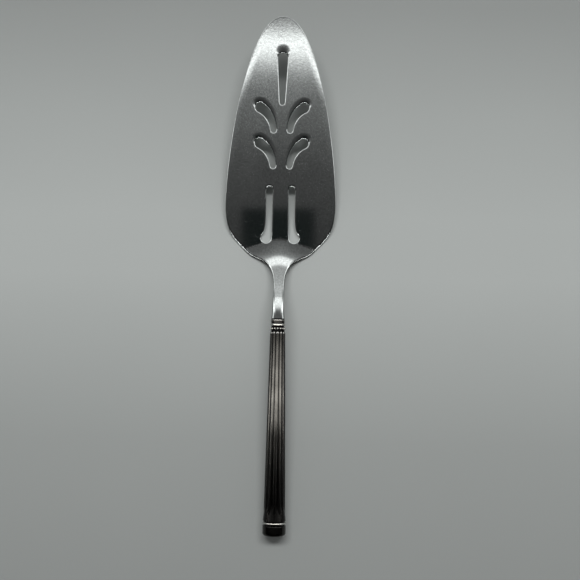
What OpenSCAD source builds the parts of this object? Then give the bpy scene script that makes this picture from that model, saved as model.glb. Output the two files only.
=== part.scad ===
// Pierced cake server with a reeded hollow handle, lying on its heel and the end of its handle.
// All lengths are millimetres and all angles degrees. The origin is on the table, under the middle.
// +X is to the right of the blade, +Y points to the tip and +Z is up.

/* [Blade] */
// Length of the flat blade, from the heel bend to the tip
blade_len = 108; // [90:1:130]
// Width of the blade at its belly
blade_w = 54; // [46:1:64]
// Thickness of the blade
blade_t = 1.5; // [1.2:0.1:2]
// Distance from the heel bend to the widest place
belly_y = 18; // [14:1:24]
// Angle at which the blade climbs to its tip when the server lies down
blade_tilt = 12; // [8:0.5:15]
// Depth of the heel, along the middle, from the bend to the middle of its slanting edge
heel_depth = 6.8; // [5.5:0.1:8]
// Width across the middles of the slanting heel edges
heel_w = 32.1; // [28:0.1:36]
// Angle between a slanting heel edge and the middle line
heel_angle = 46; // [40:1:52]

/* [Neck and tang] */
// Radius of the bend between the blade and the neck
heel_bend_r = 18; // [14:1:24]
// Angle at which the neck climbs from the table
neck_rise = 27; // [20:1:34]
// Length of the climbing neck, from the heel bend to the axis of the handle
neck_len = 25.5; // [22:0.5:32]
// Width of the neck at its waist
neck_w = 5.2; // [4.4:0.1:6]
// Thickness of the neck at its waist
neck_t = 3; // [2.4:0.1:4]
// Radius of the bend between the neck and the handle
shoulder_bend_r = 14; // [10:1:18]
// Length along the handle's axis, from that bend's corner to the collar
throat_len = 6; // [5.5:0.1:9]
// Diameter of the bolster that rests on the collar
bolster_d = 6.3; // [5.6:0.1:6.8]
// Width of the tang inside the handle
tang_w = 3; // [2:0.1:3.4]
// Thickness of the tang inside the handle
tang_t = 2.2; // [1.6:0.1:2.6]
// Length of the tang behind the collar's front face
tang_len = 84; // [60:1:90]
// Diameter of the notches that key the tang in the cement
notch_d = 1.2; // [0.8:0.1:1.6]

/* [Teardrop] */
// Distance from the tip to the middle of the teardrop's round head
tear_tip_gap = 20.1; // [17:0.1:24]
// Length between the middles of its two round ends
tear_len = 21.2; // [17:0.1:25]
// Width of its head
tear_head_w = 4.7; // [3.6:0.1:5.6]
// Width of its foot
tear_foot_w = 2.4; // [1.8:0.1:3]

/* [Leaves] */
// Number of leaf pairs
leaf_rows = 2; // [1:1:2]
// Distance from the heel bend to the foot of the first pair
leaf_y = 36; // [33:0.1:38]
// Distance from one pair to the next
leaf_pitch = 17.3; // [15:0.1:18]
// Distance along the blade from a leaf's foot to its head
leaf_rise = 10.8; // [9:0.1:12]
// Distance between the feet of one pair
leaf_foot_span = 8; // [7:0.1:9]
// Distance between the heads of one pair
leaf_head_span = 21.6; // [19:0.1:24]
// Width of a leaf's head
leaf_head_w = 4.5; // [3.6:0.1:5]
// Width of a leaf's foot
leaf_foot_w = 2.6; // [2:0.1:3]

/* [Long slots] */
// Distance from the heel bend to the middle of a long slot's foot
slot_y = 0.8; // [0:0.1:3]
// Length between the middles of a long slot's head and of its foot
slot_len = 23.3; // [19:0.1:25]
// Width of its straight stem
slot_w = 3.2; // [2.6:0.1:3.8]
// Distance between the stems of the two slots
slot_span = 11; // [10:0.1:13]
// Width of the round foot
slot_foot_w = 5; // [4.2:0.1:6]
// Distance between the two feet
slot_foot_span = 13.8; // [13:0.1:16]

/* [Collar] */
// Length of the collar
collar_len = 5.5; // [5:0.1:7]
// Diameter of the collar's plain body
collar_d = 6.3; // [5.9:0.1:6.6]
// Diameter over the round ring
ring_d = 7.2; // [6.8:0.1:7.6]
// Width of the round ring
ring_w = 1.1; // [0.8:0.1:1.4]
// Diameter over the fine rings
lip_d = 6.8; // [6.5:0.1:7.1]
// Width of the fine rings
lip_w = 0.5; // [0.3:0.1:0.7]
// Diameter of a bead
bead_d = 1; // [0.6:0.1:1.1]
// Number of beads around the collar
bead_count = 14; // [10:1:16]

/* [Handle shells] */
// Length of the reeded shells
shell_len = 89; // [80:1:100]
// Diameter of the shells at the collar
shell_top_d = 7.1; // [6.8:0.1:8]
// Diameter of the shells where their end starts to flare
shell_foot_d = 10; // [9:0.1:10.6]
// Diameter of the flared end
shell_end_d = 10.8; // [10.6:0.1:11.4]
// Length of the flare
flare_len = 7; // [5:0.5:10]
// Thickness of the shell wall
shell_wall = 0.9; // [0.7:0.05:1.1]
// Number of reeds around the handle
reed_count = 12; // [8:4:16]
// Plain length between the collar and the reeds, and between the reeds and the end cap
reed_margin = 0.5; // [0.3:0.1:1.5]

/* [End cap] */
// Length of the end cap
cap_len = 7.1; // [6:0.1:9]
// Diameter of the end cap
cap_d = 11; // [10.6:0.1:12]
// Radius of its rounded rim
cap_rim_r = 1.5; // [1:0.1:2.5]
// Width of the round ring next to the shells
cap_ring_w = 1; // [0.8:0.1:1.3]
// Length of the spigot inside the shells
spigot_len = 5; // [3:0.5:6]

/* [Hidden] */

$fn = 64;
// How far a cut runs past the face that it opens
overrun = 1;
// Gap left round a piece that is glued into another
glue_gap = 0.1;
// Gap between the tang and the bore of the collar
bore_gap = 0.2;
steel = [0.60, 0.61, 0.61];
dark_steel = [0.05, 0.05, 0.05];
cement_grey = [0.55, 0.52, 0.47];

// Share of the least half size by which the edges of the blade, bolster and tang are rounded
edge_round_share = 0.9;
// The same share at the waist of the neck, which has a flat back
waist_round_share = 0.55;
// Bezier handles of the outline, as shares of the lengths that they follow
tip_handle_share = 0.65;
belly_tip_handle_share = 0.265;
belly_heel_handle_share = 0.55;
heel_belly_handle_share = 0.49;
heel_neck_handle_share = 0.35;
waist_handle_share = 0.9;
flare_handle_share = 0.55;
// Place of the waist, as a share of the climbing neck
waist_share = 0.62;
// Elbow of a leaf's middle line, as shares of its spread and its rise
leaf_elbow_shares = [0.15, 0.7];
// Place and width of a long slot's ankle, as shares of its length and its stem
ankle_share = 0.14;
ankle_w_share = 0.92;
// Depth of the creases between the reeds, as a share of the handle's radius
reed_depth_share = 0.08;
// Places of the fine rings, the round ring and the bead row, as shares of the collar's length
lip_place_shares = [0.14, 0.3];
ring_place_share = 0.53;
bead_place_share = 0.85;
// Place of the end cap's ring, as a share of its length
cap_ring_place_share = 0.16;
// Places of the notches, as shares of the tang
notch_shares = [0.35, 0.55, 0.75];
// Length of the tang's tapered point, and the size that it keeps, as shares
tang_point_share = 0.12;
tang_end_share = 0.6;

// Steps along the curves
tip_steps = 22;
heel_steps = 12;
root_steps = 22;
flare_steps = 14;
corner_steps = 4;
slot_steps = 12;
end_steps = 8;

// Lengths along the middle line of the blade and neck, counted from the heel bend towards the handle
heel_turn = blade_tilt + neck_rise;
heel_arc = heel_bend_r * heel_turn * PI / 180;

// Corner where the neck's line meets the axis of the handle, measured from the heel's lowest line
corner_z = heel_bend_r + blade_t / 2 - heel_bend_r * cos(neck_rise) + neck_len * sin(neck_rise);
corner_run = heel_bend_r * sin(neck_rise) + neck_len * cos(neck_rise);

// Slope at which the handle falls, so that the rim of the end cap rests on the table
handle_len = throat_len + collar_len + shell_len + cap_len;
rim_z = handle_len - cap_rim_r;
rim_offset = cap_d / 2 - cap_rim_r;
rim_reach = sqrt(pow(rim_z, 2) + pow(rim_offset, 2));
handle_slope = asin((corner_z - cap_rim_r) / rim_reach) - atan2(rim_offset, rim_z);

shoulder_turn = neck_rise + handle_slope;
shoulder_tangent = shoulder_bend_r * tan(shoulder_turn / 2);
shoulder_arc = shoulder_bend_r * shoulder_turn * PI / 180;
shoulder_start = heel_arc + neck_len - shoulder_tangent;
shoulder_end = shoulder_start + shoulder_arc;
mouth = shoulder_end + throat_len - shoulder_tangent;
waist = heel_arc + waist_share * neck_len;

// Middle of the teardrop's head, counted from the heel bend
tear_head_y = blade_len - tear_tip_gap;

// The heel's lowest line, placed so that the origin is under the middle of the whole length
tip_run = blade_len * cos(blade_tilt) + (heel_bend_r + blade_t / 2) * sin(blade_tilt);
end_run = corner_run + handle_len * cos(handle_slope) + rim_offset * sin(handle_slope);
heel_y = (end_run - tip_run) / 2;

// Places along the handle's axis, counted from the corner at the shoulder
collar_z = throat_len;
shell_z = collar_z + collar_len;
cap_z = shell_z + shell_len;
tang_z = collar_z + tang_len;

// Radii of the shells at the distance z behind the collar
function shell_r(z) =
    let (straight = shell_len - flare_len)
    z <= straight
        ? (shell_top_d + (shell_foot_d - shell_top_d) * z / straight) / 2
        : (shell_foot_d + (shell_end_d - shell_foot_d) * (z - straight) / flare_len) / 2;

// Half width of one reed, as a share of the handle's radius
reed_r_share = tan(180 / reed_count);

spigot_r = shell_r(shell_len - spigot_len) - shell_wall - glue_gap;
collar_bore_r = sqrt(pow(tang_w, 2) + pow(tang_t, 2)) / 2 + bore_gap;

// Point of a Bezier curve with any number of control points
function bezier(points, u) =
    len(points) == 1
        ? points[0]
        : bezier([for (i = [0 : len(points) - 2]) points[i] * (1 - u) + points[i + 1] * u], u);

// Points along a Bezier curve without its first one
function bezier_points(points, steps) = [for (i = [1 : steps]) bezier(points, i / steps)];

// Ease from 0 to 1 with level ends
function ease(u) =
    let (v = min(max(u, 0), 1))
    v * v * (3 - 2 * v);

// Middle line of the blade and neck: [y, z, climb] at the distance d behind the heel bend
function middle_line(d) =
    let (
        arc_end = [-heel_bend_r * sin(heel_turn), heel_bend_r * (1 - cos(heel_turn))],
        climb = [-cos(heel_turn), sin(heel_turn)],
        fall = [-cos(blade_tilt - handle_slope), sin(blade_tilt - handle_slope)],
        corner = arc_end + neck_len * climb,
        turn = (d - shoulder_start) / shoulder_bend_r * 180 / PI,
        over = heel_turn - turn,
        arc_start = corner - shoulder_tangent * climb,
        shoulder = arc_start + shoulder_bend_r * [sin(over) - sin(heel_turn), cos(over) - cos(heel_turn)],
        bend = d / heel_bend_r * 180 / PI
    )
    d <= 0 ? [-d, 0, 0]
    : d <= heel_arc ? [-heel_bend_r * sin(bend), heel_bend_r * (1 - cos(bend)), bend]
    : d <= shoulder_start ? concat(arc_end + (d - heel_arc) * climb, [heel_turn])
    : d <= shoulder_end ? concat(shoulder, [over])
    : concat(corner + (d - shoulder_end + shoulder_tangent) * fall, [blade_tilt - handle_slope]);

// Outline of the blade and neck as [distance behind the heel bend, half width]
function outline() =
    let (
        belly_half = blade_w / 2,
        waist_half = neck_w / 2,
        front = blade_len - belly_y,
        back = belly_y + heel_depth,
        root = waist - heel_depth,
        slant = [cos(heel_angle), -sin(heel_angle)],
        belly = [-belly_y, belly_half],
        heel = [heel_depth, heel_w / 2],
        tip_side = [-blade_len, belly_half * tip_handle_share],
        belly_front = belly - [front * belly_tip_handle_share, 0],
        belly_back = belly + [back * belly_heel_handle_share, 0],
        heel_front = heel - back * heel_belly_handle_share * slant,
        heel_back = heel + root * heel_neck_handle_share * slant,
        waist_front = [waist - root * waist_handle_share, waist_half],
        waist_back = [waist + (mouth - waist) * flare_handle_share, waist_half],
        mouth_front = [mouth - (mouth - waist) * flare_handle_share / 2, waist_half]
    )
    concat(
        bezier_points([[-blade_len, 0], tip_side, belly_front, belly], tip_steps),
        bezier_points([belly, belly_back, heel_front, heel], heel_steps),
        bezier_points([heel, heel_back, waist_front, [waist, waist_half]], root_steps),
        bezier_points([[waist, waist_half], waist_back, mouth_front, [mouth, bolster_d / 2]], flare_steps)
    );

// Half thickness at the distance d: the blade, rounded at its tip, swells into the neck and bolster
function half_thickness(d) =
    let (
        edge = blade_t / 2 * edge_round_share,
        inset = max(edge - (d + blade_len), 0),
        blade_half = blade_t / 2 - edge + sqrt(pow(edge, 2) - pow(inset, 2)),
        neck_half = (blade_t + (neck_t - blade_t) * ease((d - heel_depth) / (waist - heel_depth))) / 2,
        bolster_half = neck_t / 2 + (bolster_d - neck_t) / 2 * ease((d - waist) / (mouth - waist))
    )
    d <= heel_depth ? blade_half : d <= waist ? neck_half : bolster_half;

// Share by which the edges are rounded at the distance d
function round_share(d) =
    let (
        to_waist = ease((d - heel_depth) / (waist - heel_depth)),
        to_mouth = ease((d - waist) / (mouth - waist))
    )
    edge_round_share + (waist_round_share - edge_round_share) * (to_waist - to_mouth);

// Closed outline of one cross-section, a rectangle with rounded corners, as [x, height]
function section(half_w, half_t, round) =
    let (
        r = min(half_w, half_t) * round,
        sides = [[1, 1], [-1, 1], [-1, -1], [1, -1]]
    )
    [
        for (q = [0 : 3], i = [0 : corner_steps])
            let (a = 90 * (q + i / corner_steps))
            [sides[q][0] * (half_w - r) + r * cos(a), sides[q][1] * (half_t - r) + r * sin(a)]
    ];

// The cross-section carried to its place on the middle line
function placed_section(d, half_w, half_t) =
    let (
        m = middle_line(d),
        corners = section(half_w, half_t, round_share(d))
    )
    [for (p = corners) [p[0], m[0] + p[1] * sin(m[2]), m[1] + p[1] * cos(m[2])]];

// Blade, neck, bolster and tang as one skin over all cross-sections
module blade_skin() {
    tang_end = mouth + tang_len;
    tang_shoulder = tang_end - tang_len * tang_point_share;
    rings = concat(
        [for (p = outline()) placed_section(p[0], p[1], half_thickness(p[0]))],
        [for (d = [mouth, tang_shoulder]) placed_section(d, tang_w / 2, tang_t / 2)],
        [placed_section(tang_end, tang_w / 2 * tang_end_share, tang_t / 2 * tang_end_share)]
    );
    n = len(rings[0]);
    last = n * (len(rings) - 1);
    polyhedron(
        points = [for (ring = rings, p = ring) p],
        faces = concat(
            [for (j = [1 : n - 2]) [0, j, j + 1]],
            [
                for (k = [0 : len(rings) - 2], j = [0 : n - 1], half = [0, 1])
                    let (a = k * n + j, b = k * n + (j + 1) % n)
                    half == 0 ? [a, b + n, b] : [a, a + n, b + n]
            ],
            [for (j = [1 : n - 2]) [last, last + j + 1, last + j]]
        )
    );
}

// Cut through the blade: a disc [x, y, radius] swept along a Bezier curve of such discs
module swept_slot(discs) {
    path = [for (i = [0 : slot_steps]) bezier(discs, i / slot_steps)];
    along = [
        for (i = [0 : slot_steps])
            let (v = path[min(i + 1, slot_steps)] - path[max(i - 1, 0)])
            atan2(v[1], v[0])
    ];
    function rim(i, a) =
        let (
            disc = path[i],
            out = along[i] + a
        )
        [disc[0] + disc[2] * cos(out), disc[1] + disc[2] * sin(out)];
    translate([0, 0, -blade_t - overrun])
        linear_extrude(height = 2 * (blade_t + overrun))
            polygon(concat(
                [for (i = [0 : slot_steps]) rim(i, -90)],
                [for (j = [1 : end_steps - 1]) rim(slot_steps, -90 + 180 * j / end_steps)],
                [for (i = [slot_steps : -1 : 0]) rim(i, 90)],
                [for (j = [1 : end_steps - 1]) rim(0, 90 + 180 * j / end_steps)]
            ));
}

// Copy of a shape on the right of the blade, and its mirror image on the left
module both_sides() {
    children();
    mirror([1, 0, 0])
        children();
}

module teardrop() {
    swept_slot([
        [0, tear_head_y - tear_len, tear_foot_w / 2],
        [0, tear_head_y, tear_head_w / 2]
    ]);
}

module leaf(y) {
    spread = (leaf_head_span - leaf_foot_span) / 2;
    foot = [leaf_foot_span / 2, y, leaf_foot_w / 2];
    head = [leaf_head_span / 2, y + leaf_rise, leaf_head_w / 2];
    elbow = [
        leaf_foot_span / 2 + spread * leaf_elbow_shares[0],
        y + leaf_rise * leaf_elbow_shares[1],
        (leaf_foot_w + leaf_head_w) / 4
    ];
    swept_slot([foot, elbow, head]);
}

module long_slot() {
    ankle_y = slot_len * ankle_share;
    ankle_r = slot_w / 2 * ankle_w_share;
    swept_slot([
        [slot_foot_span / 2, slot_y, slot_foot_w / 2],
        [slot_span / 2, slot_y + ankle_y, ankle_r],
        [slot_span / 2, slot_y + 2 * ankle_y, ankle_r],
        [slot_span / 2, slot_y + slot_len, slot_w / 2]
    ]);
}

module piercings() {
    teardrop();
    both_sides() {
        for (row = [0 : leaf_rows - 1])
            leaf(leaf_y + row * leaf_pitch);
        long_slot();
    }
}

// Half-round notches in both edges of the tang
module tang_notches() {
    for (share = notch_shares, side = [-1, 1])
        let (m = middle_line(mouth + tang_len * share))
        translate([side * tang_w / 2, m[0], m[1]])
            rotate([-m[2], 0, 0])
                cylinder(d = notch_d, h = tang_t + 2 * overrun, center = true);
}

// From the flat blade's own plane to where the blade lies on the table
module lay_blade() {
    translate([0, heel_y, heel_bend_r + blade_t / 2])
        rotate([blade_tilt, 0, 0])
            translate([0, 0, -heel_bend_r])
                children();
}

// From the handle's axis, with Z running from the shoulder to the end, to where the handle lies
module lay_handle() {
    translate([0, heel_y - corner_run, corner_z])
        rotate([90 + handle_slope, 0, 0])
            children();
}

module blade() {
    color(steel)
        lay_blade()
            difference() {
                difference() {
                    blade_skin();
                    tang_notches();
                }
                piercings();
            }
}

// Profile of a round ring that is half sunk into a body
module round_ring(outer_d, width, z) {
    translate([outer_d / 2 - width / 2, z])
        circle(d = width);
}

module collar() {
    color(dark_steel)
        lay_handle()
            translate([0, 0, collar_z])
                union() {
                    rotate_extrude()
                        difference() {
                            union() {
                                square([collar_d / 2, collar_len]);
                                for (share = lip_place_shares)
                                    round_ring(lip_d, lip_w, collar_len * share);
                                round_ring(ring_d, ring_w, collar_len * ring_place_share);
                            }
                            translate([0, -overrun])
                                square([collar_bore_r, collar_len + 2 * overrun]);
                        }
                    for (i = [0 : bead_count - 1])
                        rotate([0, 0, 90 + 360 * i / bead_count])
                            translate([collar_d / 2, 0, collar_len * bead_place_share])
                                rotate([0, 90, 0])
                                    sphere(d = bead_d);
                }
}

// Room for the tang in the pieces that it may reach into
module tang_room() {
    translate([-tang_w / 2 - glue_gap, -tang_t / 2 - glue_gap, shell_z - overrun])
        cube([tang_w + 2 * glue_gap, tang_t + 2 * glue_gap, tang_z - shell_z + glue_gap + overrun]);
}

// One reed: a round-ended tapered rod that follows the taper of the shells
module reed() {
    straight = shell_len - flare_len;
    top_r = shell_r(0) * reed_r_share;
    foot_r = shell_r(straight) * reed_r_share;
    top_z = reed_margin + top_r;
    foot_z = shell_len - reed_margin - foot_r;
    top_out = shell_r(top_z) - top_r;
    foot_out = shell_r(straight) - foot_r;
    run = foot_z - top_z;
    quarter = [for (j = [0 : end_steps]) 90 * j / end_steps];
    translate([top_out, 0, top_z])
        rotate([0, atan2(foot_out - top_out, run), 0])
            rotate_extrude()
                polygon(concat(
                    [for (a = quarter) top_r * [sin(a), -cos(a)]],
                    [for (a = quarter) [foot_r * cos(a), run + foot_r * sin(a)]]
                ));
}

// Upper half of the reeded shell, from the collar to the end cap
module half_shell() {
    straight = shell_len - flare_len;
    crease_share = 1 - reed_depth_share;
    reach = shell_end_d;
    intersection() {
        difference() {
            union() {
                rotate_extrude()
                    polygon([
                        [0, 0],
                        [shell_r(0) * crease_share, 0],
                        [shell_r(straight) * crease_share, straight],
                        [shell_r(shell_len), shell_len],
                        [0, shell_len]
                    ]);
                for (i = [0 : reed_count / 2])
                    rotate([0, 0, 360 * i / reed_count])
                        reed();
            }
            rotate_extrude()
                polygon([
                    [0, -overrun],
                    [shell_r(0) - shell_wall, -overrun],
                    [shell_r(0) - shell_wall, 0],
                    [spigot_r + glue_gap, shell_len - spigot_len],
                    [spigot_r + glue_gap, shell_len + overrun],
                    [0, shell_len + overrun]
                ]);
        }
        translate([-reach, 0, -overrun])
            cube([2 * reach, reach, shell_len + 2 * overrun]);
    }
}

module handle_front_shell() {
    color(dark_steel)
        lay_handle()
            translate([0, 0, shell_z])
                half_shell();
}

module handle_back_shell() {
    color(dark_steel)
        lay_handle()
            translate([0, 0, shell_z])
                rotate([0, 0, 180])
                    half_shell();
}

module end_cap() {
    waist_len = cap_len * cap_ring_place_share * 2;
    rim_out = cap_d / 2 - cap_rim_r;
    color(dark_steel)
        lay_handle()
            difference() {
                translate([0, 0, cap_z])
                    rotate_extrude()
                        union() {
                            translate([0, -spigot_len])
                                square([spigot_r, spigot_len]);
                            square([shell_end_d / 2 - cap_ring_w / 2, waist_len]);
                            round_ring(cap_d, cap_ring_w, cap_len * cap_ring_place_share);
                            translate([0, waist_len])
                                square([cap_d / 2, cap_len - waist_len - cap_rim_r]);
                            translate([0, cap_len - cap_rim_r])
                                square([rim_out, cap_rim_r]);
                            translate([rim_out, cap_len - cap_rim_r])
                                intersection() {
                                    circle(r = cap_rim_r);
                                    square(cap_rim_r);
                                }
                        }
                tang_room();
            }
}

module cement_filling() {
    filling_len = shell_len - spigot_len - glue_gap;
    color(cement_grey)
        lay_handle()
            difference() {
                translate([0, 0, shell_z])
                    rotate_extrude()
                        polygon([
                            [0, 0],
                            [shell_r(0) - shell_wall - glue_gap, 0],
                            [spigot_r, filling_len],
                            [0, filling_len]
                        ]);
                tang_room();
            }
}

blade();
collar();
handle_front_shell();
handle_back_shell();
end_cap();
cement_filling();
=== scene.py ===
"""Looks of a pierced cake server with a reeded hollow handle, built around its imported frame."""

import math

import bpy
import numpy as np
from bpy.props import FloatProperty, FloatVectorProperty, IntProperty
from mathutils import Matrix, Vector
from mathutils.geometry import delaunay_2d_cdt


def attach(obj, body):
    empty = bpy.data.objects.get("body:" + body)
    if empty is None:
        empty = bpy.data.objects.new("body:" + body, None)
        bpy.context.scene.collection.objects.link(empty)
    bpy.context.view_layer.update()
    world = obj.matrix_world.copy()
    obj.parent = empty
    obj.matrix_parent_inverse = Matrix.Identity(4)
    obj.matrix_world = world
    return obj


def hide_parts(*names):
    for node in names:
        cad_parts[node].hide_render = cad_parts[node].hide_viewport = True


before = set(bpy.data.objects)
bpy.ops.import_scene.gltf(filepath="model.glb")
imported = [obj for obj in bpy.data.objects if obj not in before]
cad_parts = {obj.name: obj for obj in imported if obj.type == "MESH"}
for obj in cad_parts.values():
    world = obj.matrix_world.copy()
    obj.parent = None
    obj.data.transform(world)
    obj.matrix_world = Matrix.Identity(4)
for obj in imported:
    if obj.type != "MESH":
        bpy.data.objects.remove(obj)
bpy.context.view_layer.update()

bl_info = {
    "name": "Cake server",
    "version": (1, 0, 0),
    "blender": (4, 5, 0),
    "location": "View3D > Sidebar > Server",
    "description": "Builds a pierced cake server with a reeded handle, and the stage it lies on",
    "category": "Add Mesh",
}

MM = 0.001
BLADE_PIECES = ("blade_satin",)
SHELL_PIECES = ("shell_front", "shell_back")
HANDLE_PIECES = ("collar_beaded", *SHELL_PIECES, "cap_ringed")

# Bezier handles of the blade's outline, as shares of the lengths that they follow
TIP_HANDLE_SHARE = 0.65
BELLY_TIP_HANDLE_SHARE = 0.265
BELLY_HEEL_HANDLE_SHARE = 0.55
HEEL_BELLY_HANDLE_SHARE = 0.49
HEEL_NECK_HANDLE_SHARE = 0.35
WAIST_HANDLE_SHARE = 0.9
FLARE_HANDLE_SHARE = 0.55
WAIST_SHARE = 0.62

# Shares that place and shape the openings, the tang, the collar, the reeds and the cap
LEAF_ELBOW_SHARES = (0.15, 0.7)
ANKLE_SHARE = 0.14
ANKLE_W_SHARE = 0.92
NOTCH_SHARES = (0.35, 0.55, 0.75)
TANG_POINT_SHARE = 0.12
TANG_END_SHARE = 0.6
TANG_SQUARENESS = 6
ROUND_MOUTH_SHARE = 0.6
LIP_PLACE_SHARES = (0.14, 0.3)
RING_PLACE_SHARE = 0.53
BEAD_PLACE_SHARE = 0.85
REED_DEPTH_SHARE = 0.08
CAP_RING_PLACE_SHARE = 0.16
CAP_END_SHARES = (0.6, 0.4, 0.2)

# Where the openings are dished and the face is crowned, and how the hollow root fans out from its crease
FAR_SHARES = (0.0, 0.8)
TEAR_FAR_SHARES = (0.34, 1.0)
CROWN_SHARES = (0.87, 0.97)
FAN_SLOPES = (0.42, 0.95)
FAN_CREASE_SHARE = 0.33
FAN_CREASE_PARTS = (0.2, 0.65, 0.15)
FAN_FLAT_SHARE = 0.2

# Small roundings that catch the light, and angles past which an edge is sharp
NECK_APRON = 0.1 * MM
COLLAR_SOFT = 0.12 * MM
CAP_SOFT = 0.15 * MM
COLLAR_SHARP = math.radians(50)
SHELL_SHARP = math.radians(60)
CAP_SHARP = math.radians(40)

# Painted shade on the blade's edges and crease: the part of an edge's round over which it comes in, and its
# strength
EDGE_SHADE_SHARES = (0.52, 0.72)
CREASE_SHADE_LEVEL = 0.85
SIDE_SHADE_LEVEL = 0.45

# Dark metal: heights where rubbing and painted highlight brighten it, painted shade in hollows and at the
# flare
COLLAR_RUB_AND_HIGHLIGHT = (0.9, 0.08, 0.6)
RUB_AND_HIGHLIGHT_START = 0.14 * MM
RUB_AND_HIGHLIGHT_RUN = 0.12 * MM
HOLLOW_RISE = 0.12 * MM
REED_RUB_AND_HIGHLIGHT_START = 0.7 * MM
REED_RUB_AND_HIGHLIGHT_RUN = 0.9 * MM
CAP_RUB_AND_HIGHLIGHT_START = 0.2 * MM
CAP_RUB_AND_HIGHLIGHT_RUN = 0.3 * MM
CAP_HOLLOW_RISE = 0.25 * MM
CREASE_FALL = 1.1
FLARE_SHADE_LEVEL = 0.66
END_SHADE_RUN_SHARE = 4.0

# Steps of the surfaces, gaps too small to matter, and the kind of fill that keeps inside the loops
OUTLINE_STEPS = (90, 50, 80, 50)
ROUND_STEPS = 10
APRON_STEPS = 6
SLOT_STEPS = 44
SLOT_END_STEPS = 22
TANG_STEPS = 30
NOTCH_STEPS = 17
POINT_STEPS = 8
TURN_STEPS = 224
RING_STEPS = 16
BEAD_STEPS = 25
COLLAR_SOFT_STEPS = 5
REED_STEPS = 24
SHELL_STEPS = (30, 40, 34)
CAP_STEPS = 8
CAP_SOFT_STEPS = 6
CREASE_STEP = 0.2 * MM
BEND_STEP = 0.4 * MM
FLAT_STEP = 2.6 * MM
SLOPE_STEP = 0.01 * MM
MERGE_GAP = 1e-9
MERGE_DIGITS = 9
FILL_INSIDE = 1
NO_LENGTH = 1e-12

# Camera, as the point that it looks at, its offset from there, its turn and its lens
AIM = (5.4 * MM, -6.66 * MM, 0.0)
CAMERA_BACK = 71.9 * MM
CAMERA_UP = 500 * MM
CAMERA_TURN = math.radians(1.05)
LENS_MM = 64.1
CLIP_START = 10 * MM

# Soft strip lamp above the table, a little beyond the server, and the even light of the room
LAMP_DISTANCE = 1.2
LAMP_ELEVATION = math.radians(70)
LAMP_SIZE = (1.1, 0.2)
LAMP_WATTS = 12.6
ROOM_LEVEL = 0.25

# Table top, and the painted shade that darkens it towards both ends of the server
FLOOR_SIZE = (4.0, 4.0)
FLOOR_SHADE_STOPS = ((-0.15, 0.7), (-0.08, 0.77), (0.0, 0.99), (0.03, 0.98), (0.08, 0.85), (0.14, 0.65))

# What gloss shows of the room: levels by degrees from the handle's side over the top to the tip's side,
# a narrow bright band behind the top, and lights on both flanks by how far a ray points to the tip
SKY_STOPS = (
    (-90, 0.06), (-60, 0.03), (-30, 0.018), (-20, 0.026), (-14, 0.048), (-8, 0.088), (0, 0.12),
    (12, 0.13), (15, 0.18), (19, 0.28), (24, 0.6), (29, 1.1), (36, 1.45), (50, 1.5), (57, 1.3),
    (59.5, 1.0), (61.5, 0.75), (66, 0.6), (70, 0.5), (90, 0.35),
)
BAND_STOPS = (
    (-9, 0.0), (-8, 0.02), (-6.2, 0.08), (-4.57, 0.12), (-4.04, 0.27), (-3.53, 0.62), (-3.07, 1.1),
    (-2.74, 1.6), (-2.5, 2.2), (-2.2, 2.2), (-2, 1.6), (-1.82, 0.85), (-1.62, 0.36), (-1.4, 0.18),
    (-1, 0.11), (0, 0.05), (1, 0.0),
)
FLANK_STOPS = (
    (-1, 0.0), (-0.07, 0.0), (-0.03, 1.6), (0.06, 1.6), (0.13, 0.0), (0.3, 0.0), (0.42, 1.3), (1, 1.3),
)
FLANK_START = (0.5, 0.7)
FLANK_END = (0.88, 0.96)

# Cards that only gloss sees, as middle, size, colour and levels along the server: a dark one above the
# heel, a warm one above the handle, a white one for the blade, and two pairs at the sides of the shells
WHITE = (1.0, 1.0, 1.0)
FLAG_MIDDLE = (-8.5 * MM, -103 * MM, 0.5)
FLAG_SIZE = (0.072, 0.074)
FLAG_COLOR = (0.8, 1.0, 0.98)
FLAG_STOPS = ((-1.0, 0.016), (1.0, 0.016))
WARM_MIDDLE = (0.0, -66 * MM, 75 * MM)
WARM_SIZE = (0.3, 0.092)
WARM_COLOR = (1.0, 0.98, 0.93)
WARM_STOPS = (
    (-0.046, 0.02), (-0.034, 0.07), (-0.024, 0.15), (-0.0155, 0.5), (-0.009, 5.8), (-0.002, 8.4),
    (0.009, 8.2), (0.02, 6.2), (0.031, 1.7), (0.035, 1.1), (0.046, 1.6),
)
GLINT_MIDDLE = (0.0, -200 * MM, 74 * MM)
GLINT_SIZE = (0.8, 0.105)
GLINT_STOPS = ((-0.0525, 0.3), (-0.036, 5.0), (-0.015, 9.5), (0.025, 9.5), (0.042, 5.0), (0.0525, 0.3))
SHEEN_MIDDLE = (70 * MM, -118 * MM, 74 * MM)
SHEEN_SIZE = (0.03, 0.066)
SHEEN_STOPS = ((-0.033, 0.0), (-0.015, 0.2), (0.0, 0.6), (0.015, 1.6), (0.025, 1.6), (0.033, 0.5))
SHEEN_LEVELS = (1.0, 1.0)
SHINE_MIDDLE = (250 * MM, -77 * MM, 75 * MM)
SHINE_SIZE = (0.19, 0.044)
SHINE_STOPS = ((-0.022, 0.0), (-0.014, 0.2), (-0.007, 1.0), (0.006, 0.9), (0.022, 0.1))
SHINE_LEVELS = (26.0, 16.0)

# Usual range of noise, and the sockets of a mix node that mixes colours
NOISE_RANGE = (0.3, 0.7)
MIX_SHARE, MIX_A, MIX_B, MIX_RESULT = 0, 6, 7, 2

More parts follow.
